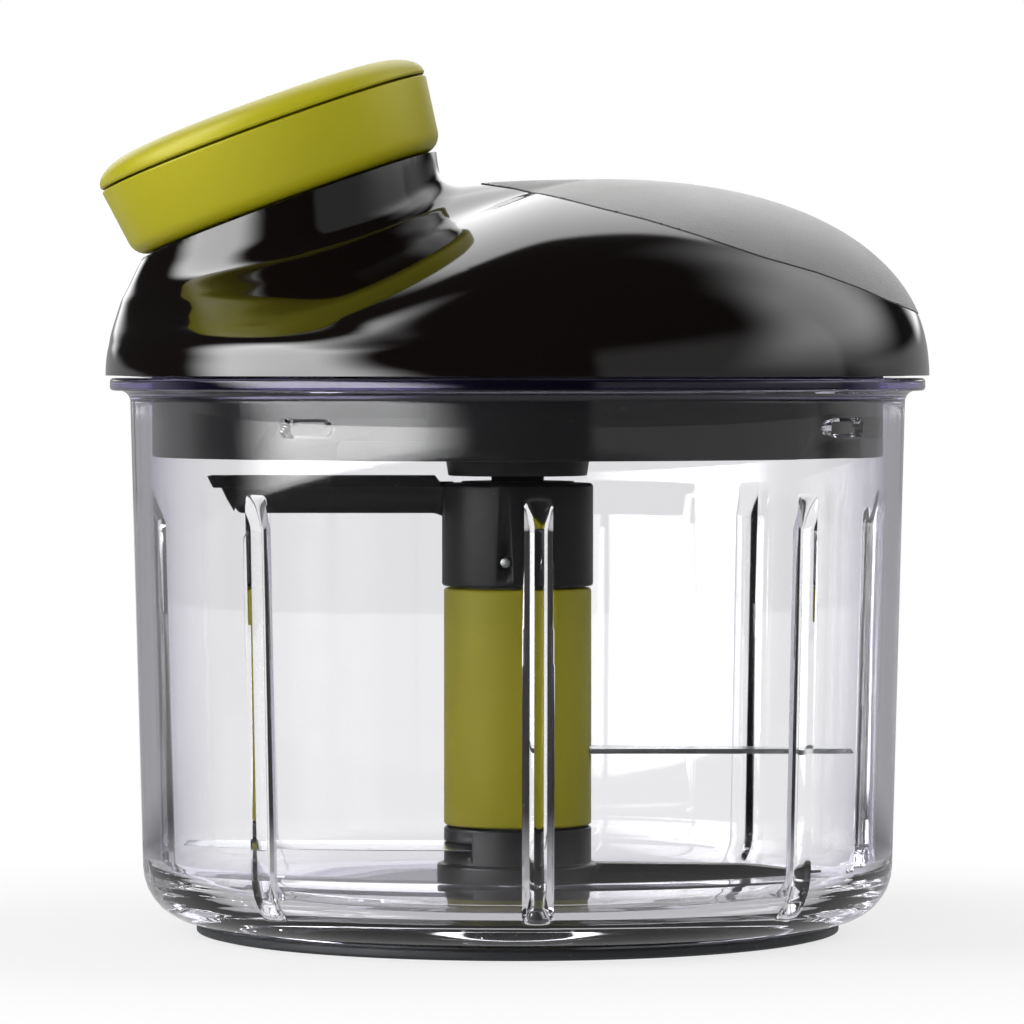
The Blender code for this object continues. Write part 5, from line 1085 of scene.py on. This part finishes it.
def makeScrewTree(shape):
    # pan head with its drive, and a shank with its thread, set on every given point
    tree, given = newTree("screwRow", shape)
    size = given.outputs

    def maths(operation, *values):
        return mathNode(tree, operation, *values)

    def outlineCurve(levels, factor):
        value = addNode(tree, "ShaderNodeFloatCurve", Value=factor)
        points = value.node.mapping.curves[0].points
        for index, level in enumerate(levels):
            spot = index / (len(levels) - 1)
            ends = {0: points[0], len(levels) - 1: points[-1]}
            point = ends[index] if index in ends else points.new(spot, level)
            point.location = (spot, level)
        for point in points:
            point.handle_type = "VECTOR"
        value.node.mapping.update()
        return value

    count = len(headOutline)
    line = addNode(tree, "GeometryNodeCurvePrimitiveLine", End=(0, 0, 1))
    stations = addNode(tree, "GeometryNodeResampleCurve", Curve=line, Count=count)
    share = maths("DIVIDE", tree.nodes.new("GeometryNodeInputIndex").outputs[0], count - 1.0)
    level = maths("MULTIPLY", outlineCurve([pair[0] for pair in headOutline], share), size["headHeight"])
    upward = addNode(tree, "ShaderNodeCombineXYZ", Z=level)
    raised = addNode(tree, "GeometryNodeSetPosition", Geometry=stations, Position=upward)
    reach = maths("MULTIPLY", outlineCurve([pair[1] for pair in headOutline], share), size["headRadius"])
    sized = addNode(tree, "GeometryNodeSetCurveRadius", Curve=raised, Radius=reach)
    ring = addNode(tree, "GeometryNodeCurvePrimitiveCircle", Resolution=size["headSides"], Radius=1.0)
    turned = addNode(tree, "GeometryNodeCurveToMesh", Curve=sized, Profile_Curve=ring, Fill_Caps=True)
    if "Scale" in turned.node.inputs:
        tree.links.new(reach, turned.node.inputs["Scale"])
    spot = tree.nodes.new("GeometryNodeInputPosition").outputs[0]
    # six lobes: the drive's wall is drawn in between them
    x, y, z = addNode(tree, "ShaderNodeSeparateXYZ", Vector=spot).node.outputs
    out = maths("SQRT", maths("ADD", maths("MULTIPLY", x, x), maths("MULTIPLY", y, y)))
    inDrive = maths("LESS_THAN", out, maths("MULTIPLY", size["headRadius"], size["driveShare"]))
    lobe = maths("ABSOLUTE", maths("SINE", maths("MULTIPLY", maths("ARCTAN2", y, x), 3.0)))
    pull = maths("SUBTRACT", 1.0, maths("MULTIPLY", maths("MULTIPLY", inDrive, size["driveDepth"]), lobe))
    across = {axis: maths("MULTIPLY", value, pull) for axis, value in (("X", x), ("Y", y))}
    drawn = addNode(tree, "ShaderNodeCombineXYZ", **across, Z=z)
    driven = addNode(tree, "GeometryNodeSetPosition", Geometry=turned, Position=drawn)
    shankMiddle = addNode(tree, "ShaderNodeCombineXYZ", Z=maths("MULTIPLY", size["shankLength"], -0.5))
    rod = addNode(
        tree, "GeometryNodeMeshCylinder", Vertices=size["shankSides"], Radius=size["shankRadius"],
        Depth=size["shankLength"],
    )
    shank = addNode(tree, "GeometryNodeTransform", Geometry=rod, Translation=shankMiddle)
    threaded = maths("MULTIPLY", size["shankLength"], size["threadShare"])
    coil = addNode(
        tree, "GeometryNodeCurveSpiral", Resolution=size["threadSteps"],
        Rotations=maths("DIVIDE", threaded, size["threadPitch"]), Height=maths("MULTIPLY", threaded, -1.0),
        Start_Radius=size["shankRadius"], End_Radius=size["shankRadius"],
    )
    ridge = addNode(tree, "GeometryNodeCurvePrimitiveCircle", Resolution=4, Radius=size["threadDepth"])
    thread = addNode(tree, "GeometryNodeCurveToMesh", Curve=coil, Profile_Curve=ridge, Fill_Caps=True)
    whole = addNode(tree, "GeometryNodeJoinGeometry", Geometry=driven)
    for part in (shank, thread):
        tree.links.new(part, whole.node.inputs[0])
    tilt = addNode(tree, "ShaderNodeCombineXYZ", X=size["turnOver"])
    points = size["Geometry"]
    rows = addNode(tree, "GeometryNodeInstanceOnPoints", Points=points, Instance=whole, Rotation=tilt)
    endTree(tree, given, rows)
    return tree


def headSpots(names, under):
    # the points at which the heads rest, from the places of the CAD screws
    spots = []
    for name in names:
        low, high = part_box(name)
        height = low[2] + screwShape["headHeight"] if under else high[2] - screwShape["headHeight"]
        spots.append(((low[0] + high[0]) / 2, (low[1] + high[1]) / 2, height))
    return spots


screwTree = makeScrewTree(screwShape)
lidScrews = [f"lid_screw_{number}" for number in range(1, 4)]
frameScrews = [f"frame_screw_{number}" for number in range(1, 4)]
for name, body, nodes, under, sizes in (
    ("lidScrews", "lid", lidScrews, True, {"turnOver": math.pi}),
    ("frameScrews", "lid", frameScrews, False, {"shankLength": 0.0052}),
    ("hubScrew", "drive", ["hub_screw"], False, {"shankLength": 0.0090}),
):
    screws = grownPiece(name, screwTree, headSpots(nodes, under), dict(screwShape, **sizes), pinSteel)
    place(screws, body, nodes)

ropeShape = {
    "cordRadius": 0.00078, "strands": 4, "around": 24, "strandDepth": 0.16, "twistPerMetre": 800.0,
    "spacing": 0.0006,
}


def makeRopeTree(shape):
    # a lobed section swept along the given path, turning as it goes
    tree, given = newTree("twistedRope", shape)
    size = given.outputs
    path = addNode(tree, "GeometryNodeMeshToCurve", Mesh=size["Geometry"])
    even = addNode(tree, "GeometryNodeResampleCurve", {"mode": "LENGTH"}, Curve=path, Length=size["spacing"])
    along = tree.nodes.new("GeometryNodeSplineParameter").outputs["Length"]
    twist = mathNode(tree, "MULTIPLY", along, size["twistPerMetre"])
    turned = addNode(tree, "GeometryNodeSetCurveTilt", Curve=even, Tilt=twist)
    around = size["around"]
    section = addNode(tree, "GeometryNodeCurvePrimitiveCircle", Resolution=around, Radius=size["cordRadius"])
    index = tree.nodes.new("GeometryNodeInputIndex").outputs[0]
    share = mathNode(tree, "DIVIDE", index, around)
    wave = mathNode(tree, "PINGPONG", mathNode(tree, "MULTIPLY", share, size["strands"]), 0.5)
    dip = mathNode(tree, "POWER", mathNode(tree, "MULTIPLY", wave, 2.0), 3.0)
    scale = mathNode(tree, "SUBTRACT", 1.0, mathNode(tree, "MULTIPLY", dip, size["strandDepth"]))
    spot = tree.nodes.new("GeometryNodeInputPosition").outputs[0]
    drawn = addNode(tree, "ShaderNodeVectorMath", {"operation": "SCALE"}, _0=spot, Scale=scale)
    lobed = addNode(tree, "GeometryNodeSetPosition", Geometry=section, Position=drawn)
    swept = addNode(tree, "GeometryNodeCurveToMesh", Curve=turned, Profile_Curve=lobed, Fill_Caps=True)
    endTree(tree, given, swept)
    return tree


windingShape = {
    "radius": 0.0156, "start": (-0.008347, 0.013179, 0.0963), "turns": 4, "pitch": 0.0018, "steps": 60,
}
runShape = {
    "start": (-0.008473, 0.013099, 0.0963), "bend": (-0.026020, 0.001987, 0.0963), "levelSteps": 3,
    "bendRadius": 0.0050, "bendSteps": 6, "rise": 0.010313,
}


def runPath(shape):
    # level from the reel, over the roller in an arc, then up the neck's slope
    start, bend = Vector(shape["start"]), Vector(shape["bend"])
    level = (bend - start).normalized()
    upward = (pullAxis - level * pullAxis.dot(level)).normalized()
    spots = [start.lerp(bend, step / shape["levelSteps"]) for step in range(shape["levelSteps"])]
    for step in range(shape["bendSteps"] + 1):
        turn = level.angle(pullAxis) * step / shape["bendSteps"]
        spots.append(bend + (level * math.sin(turn) + upward * (1 - math.cos(turn))) * shape["bendRadius"])
    return spots + [spots[-1] + pullAxis * shape["rise"]]


def windingPath(shape):
    startX, startY, low = shape["start"]
    first = math.atan2(startY, startX)
    spots = []
    for step in range(shape["turns"] * shape["steps"] + 1):
        turn = first - math.tau * step / shape["steps"]
        spots.append(onCircle(shape["radius"], turn, low + shape["pitch"] * step / shape["steps"]))
    return spots


ropeTree = makeRopeTree(ropeShape)
for name, body, path, node in (
    ("woundCord", "spool", windingPath(windingShape), "cord_winding"),
    ("ledCord", "lid", runPath(runShape), "cord_run"),
):
    place(grownPiece(name, ropeTree, path, ropeShape, cordWeave, True, 50), body, [node])

springShape = {
    "turns": 4.0, "inner": 0.0052, "outer": 0.0114, "thickness": 0.0004, "width": 0.0032, "middle": 0.1102,
}


def makeSpringTree(shape):
    # a flat strip wound in a level spiral
    tree, given = newTree("woundStrip", shape)
    size = given.outputs
    spiral = addNode(
        tree, "GeometryNodeCurveSpiral", Resolution=72, Rotations=size["turns"], Start_Radius=size["inner"],
        End_Radius=size["outer"], Height=0.0, Reverse=True,
    )
    upright = addNode(tree, "GeometryNodeSetCurveNormal", {"mode": "Z_UP"}, Curve=spiral)
    section = addNode(
        tree, "GeometryNodeCurvePrimitiveQuadrilateral", Width=size["thickness"], Height=size["width"]
    )
    band = addNode(tree, "GeometryNodeCurveToMesh", Curve=upright, Profile_Curve=section, Fill_Caps=True)
    height = addNode(tree, "ShaderNodeCombineXYZ", Z=size["middle"])
    endTree(tree, given, addNode(tree, "GeometryNodeTransform", Geometry=band, Translation=height))
    return tree


strip = grownPiece("springStrip", makeSpringTree(springShape), [(0, 0, 0)], springShape, bladeSteel)
place(strip, "lid", ["recoil_spring"])
print("screws, cords and spring grown")

# works that keep their CAD shape and only take a finish
keptFinishes = (
    (pinSteel, ("pivot_pin", "roller_pin", "cord_ferrule")), (plastics["bushBronze"], ("pivot_bush",)),
    (nylon, ("blade_core", "mechanism_frame", "spring_case", "spool", "roller_carrier", "guide_roller")),
    (olive, ("ratchet_hub",)),
)
for finish, nodeNames in keptFinishes:
    for nodeName in nodeNames:
        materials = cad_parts[nodeName].data.materials
        if not materials:
            materials.append(finish)
        for index in range(len(materials)):
            materials[index] = finish
print("works finished")

studio = {
    "floorRadius": 1.2, "floorColour": (0.86, 0.86, 0.86, 1.0),
    "glowNear": 0.74, "glowFar": 1.0, "glowFrom": 0.07, "glowTo": 0.17,
    "mirrorNear": 0.55, "mirrorFront": 0.03, "mirrorBack": 0.38, "nearSpan": (0.09, 0.26),
    "backSpan": (0.02, 0.25), "throughSpan": (0.22, 0.60), "throughHigh": 0.30, "insideSpan": (-0.9, 0.9),
    "camera": (-0.0009, -0.98, 0.0916), "tiltDown": 1.43, "lens": 215.3, "ambient": 0.34, "through": 0.90,
    "insideLeft": 1.95, "insideRight": 0.95,
    "bounces": {"max_bounces": 32, "glossy_bounces": 14, "transmission_bounces": 24},
    "lights": (
        {"name": "leftSoftbox", "at": (-0.85, -0.25, 0.55), "aim": (0, 0, 0.08),
         "size": (0.60, 0.70), "power": 5.4},
        {"name": "rightSoftbox", "at": (0.85, 0.30, 0.60), "aim": (0, 0, 0.08),
         "size": (0.50, 0.50), "power": 2.8},
        {"name": "frontFill", "at": (-0.25, -1.35, 0.36), "aim": (0, 0, 0.07),
         "size": (0.80, 0.70), "power": 8.2},
        {"name": "topSoftbox", "at": (0.00, 0.15, 0.90), "aim": (0, 0, 0.08),
         "size": (0.60, 0.60), "power": 0.6},
    ),
    # what gloss sees: bearing from the front, half width, edge, height, half height, edge, lean, strength
    "gloss": (
        (-76, 28, 26, 26, 34, 16, 0.80, 8.0), (112, 28, 30, 33, 22, 24, -0.6, 2.0),
        (180, 24, 12, 28, 23, 3, 0, 1.9), (62, 40, 5, 6, 26, 16, 0, 0.35),
        (180, 70, 20, 0, 6, 4, 0, 0.35),
    ),
    "glossAmbient": 0.02,
}


def mixShaders(tree, flag, elseShader, thenShader):
    return addNode(tree, "ShaderNodeMixShader", _0=flag, _1=elseShader, _2=thenShader)


def buildFloor():
    mesh = bmesh.new()
    bmesh.ops.create_circle(mesh, cap_ends=True, segments=96, radius=studio["floorRadius"])
    data = bpy.data.meshes.new("studioFloor")
    mesh.to_mesh(data)
    mesh.free()
    floor = bpy.data.objects.new("studioFloor", data)
    bpy.context.scene.collection.objects.link(floor)
    material, tree, _ = newMaterial("floorPale")
    tree.nodes.clear()
    path = addNode(tree, "ShaderNodeLightPath").node.outputs
    space = objectSpace(tree)
    away = addNode(tree, "ShaderNodeVectorMath", {"operation": "LENGTH"}, _0=space).node.outputs["Value"]
    glow = smoothFade(tree, away, studio["glowFrom"], studio["glowTo"], studio["glowNear"], studio["glowFar"])
    seen = mathNode(tree, "ADD", path["Is Camera Ray"], path["Is Transmission Ray"])
    direct = mathNode(tree, "LESS_THAN", path["Diffuse Depth"], 0.5)
    glowing = mathNode(tree, "MULTIPLY", mathNode(tree, "MINIMUM", seen, 1.0), direct)
    matte = addNode(tree, "ShaderNodeBsdfDiffuse", Color=studio["floorColour"])
    bright = addNode(tree, "ShaderNodeEmission")
    plain = mixShaders(tree, mathNode(tree, "MULTIPLY", glowing, glow), matte, bright)
    # gloss sees the floor fade into the dark studio
    back = addNode(tree, "ShaderNodeSeparateXYZ", Vector=space).node.outputs["Y"]
    far = smoothFade(tree, back, *studio["backSpan"], studio["mirrorFront"], studio["mirrorBack"])
    close = smoothFade(tree, away, *studio["nearSpan"], 1.0, 0.0)
    near = mathNode(tree, "MULTIPLY", close, studio["mirrorNear"])
    mirrored = addNode(tree, "ShaderNodeEmission", Strength=mathNode(tree, "MAXIMUM", near, far))
    reflected = mathNode(tree, "GREATER_THAN", path["Glossy Depth"], 0.5)
    whole = mixShaders(tree, mathNode(tree, "MULTIPLY", reflected, direct), plain, mirrored)
    feed(tree, tree.nodes.new("ShaderNodeOutputMaterial"), Surface=whole)
    data.materials.append(material)


def glossWindow(tree, x, y, height, bearing, half, edge, climb, halfClimb, climbEdge, lean, strength):
    # one soft-edged window of light at a bearing and a height, leaning as it rises
    def softEdge(value, reach, soft):
        inner, outer = math.radians(reach - soft / 2), math.radians(reach + soft / 2)
        return smoothFade(tree, mathNode(tree, "ABSOLUTE", value), inner, outer, 1.0, 0.0)

    sine, cosine = math.sin(math.radians(bearing)), math.cos(math.radians(bearing))
    ahead = mathNode(tree, "ADD", mathNode(tree, "MULTIPLY", x, sine), mathNode(tree, "MULTIPLY", y, -cosine))
    aside = mathNode(tree, "ADD", mathNode(tree, "MULTIPLY", x, cosine), mathNode(tree, "MULTIPLY", y, sine))
    above = mathNode(tree, "SUBTRACT", height, math.radians(climb))
    leaning = mathNode(tree, "MULTIPLY_ADD", above, lean, mathNode(tree, "ARCTAN2", aside, ahead))
    across, upright = softEdge(leaning, half, edge), softEdge(above, halfClimb, climbEdge)
    return mathNode(tree, "MULTIPLY", mathNode(tree, "MULTIPLY", across, upright), strength)


def buildWorld():
    world = bpy.data.worlds.new("studioWorld")
    bpy.context.scene.world = world
    world.use_nodes = True
    tree = world.node_tree
    tree.nodes.clear()
    path = addNode(tree, "ShaderNodeLightPath").node.outputs
    way = addNode(tree, "ShaderNodeTexCoord").node.outputs["Generated"]
    x, y, z = addNode(tree, "ShaderNodeSeparateXYZ", _0=way).node.outputs
    height = mathNode(tree, "ARCSINE", z)
    gloss = studio["glossAmbient"]
    for window in studio["gloss"]:
        gloss = mathNode(tree, "ADD", gloss, glossWindow(tree, x, y, height, *window))

    def backdrop(strength):
        return addNode(tree, "ShaderNodeBackground", Strength=strength, Color=(1, 1, 1, 1))

    steepness = mathNode(tree, "ABSOLUTE", z)
    level = smoothFade(tree, steepness, *studio["throughSpan"], studio["through"], studio["throughHigh"])
    direct = mathNode(tree, "LESS_THAN", path["Diffuse Depth"], 0.5)
    glossy = mathNode(tree, "GREATER_THAN", path["Glossy Depth"], 0.5)
    # lamps do not reach through the clear wall, so the works inside take their light from here
    inside = backdrop(smoothFade(tree, x, *studio["insideSpan"], studio["insideLeft"], studio["insideRight"]))
    mix = mixShaders(tree, direct, inside, backdrop(level))
    mix = mixShaders(tree, path["Is Transmission Ray"], backdrop(studio["ambient"]), mix)
    mix = mixShaders(tree, mathNode(tree, "MULTIPLY", glossy, direct), mix, backdrop(gloss))
    mix = mixShaders(tree, path["Is Camera Ray"], mix, backdrop(1.0))
    feed(tree, tree.nodes.new("ShaderNodeOutputWorld"), Surface=mix)


def buildLights():
    for look in studio["lights"]:
        light = bpy.data.lights.new(look["name"], "AREA")
        light.shape = "RECTANGLE"
        light.size, light.size_y = look["size"]
        light.energy = look["power"]
        lamp = bpy.data.objects.new(look["name"], light)
        bpy.context.scene.collection.objects.link(lamp)
        lamp.location = look["at"]
        lamp.rotation_euler = (Vector(look["aim"]) - Vector(look["at"])).to_track_quat("-Z", "Y").to_euler()
        lamp.visible_camera = False
        lamp.visible_glossy = False
        lamp.visible_transmission = False


def buildCamera():
    camera = bpy.data.cameras.new("photoCamera")
    camera.lens = studio["lens"]
    camera.sensor_width = 36
    holder = bpy.data.objects.new("photoCamera", camera)
    bpy.context.scene.collection.objects.link(holder)
    holder.location = studio["camera"]
    holder.rotation_euler = (math.radians(90 - studio["tiltDown"]), 0, 0)
    bpy.context.scene.camera = holder


buildFloor()
buildWorld()
buildLights()
buildCamera()
bpy.context.scene.view_settings.view_transform = "Standard"
for limitName, limit in studio["bounces"].items():
    setattr(bpy.context.scene.cycles, limitName, limit)
print("studio built")
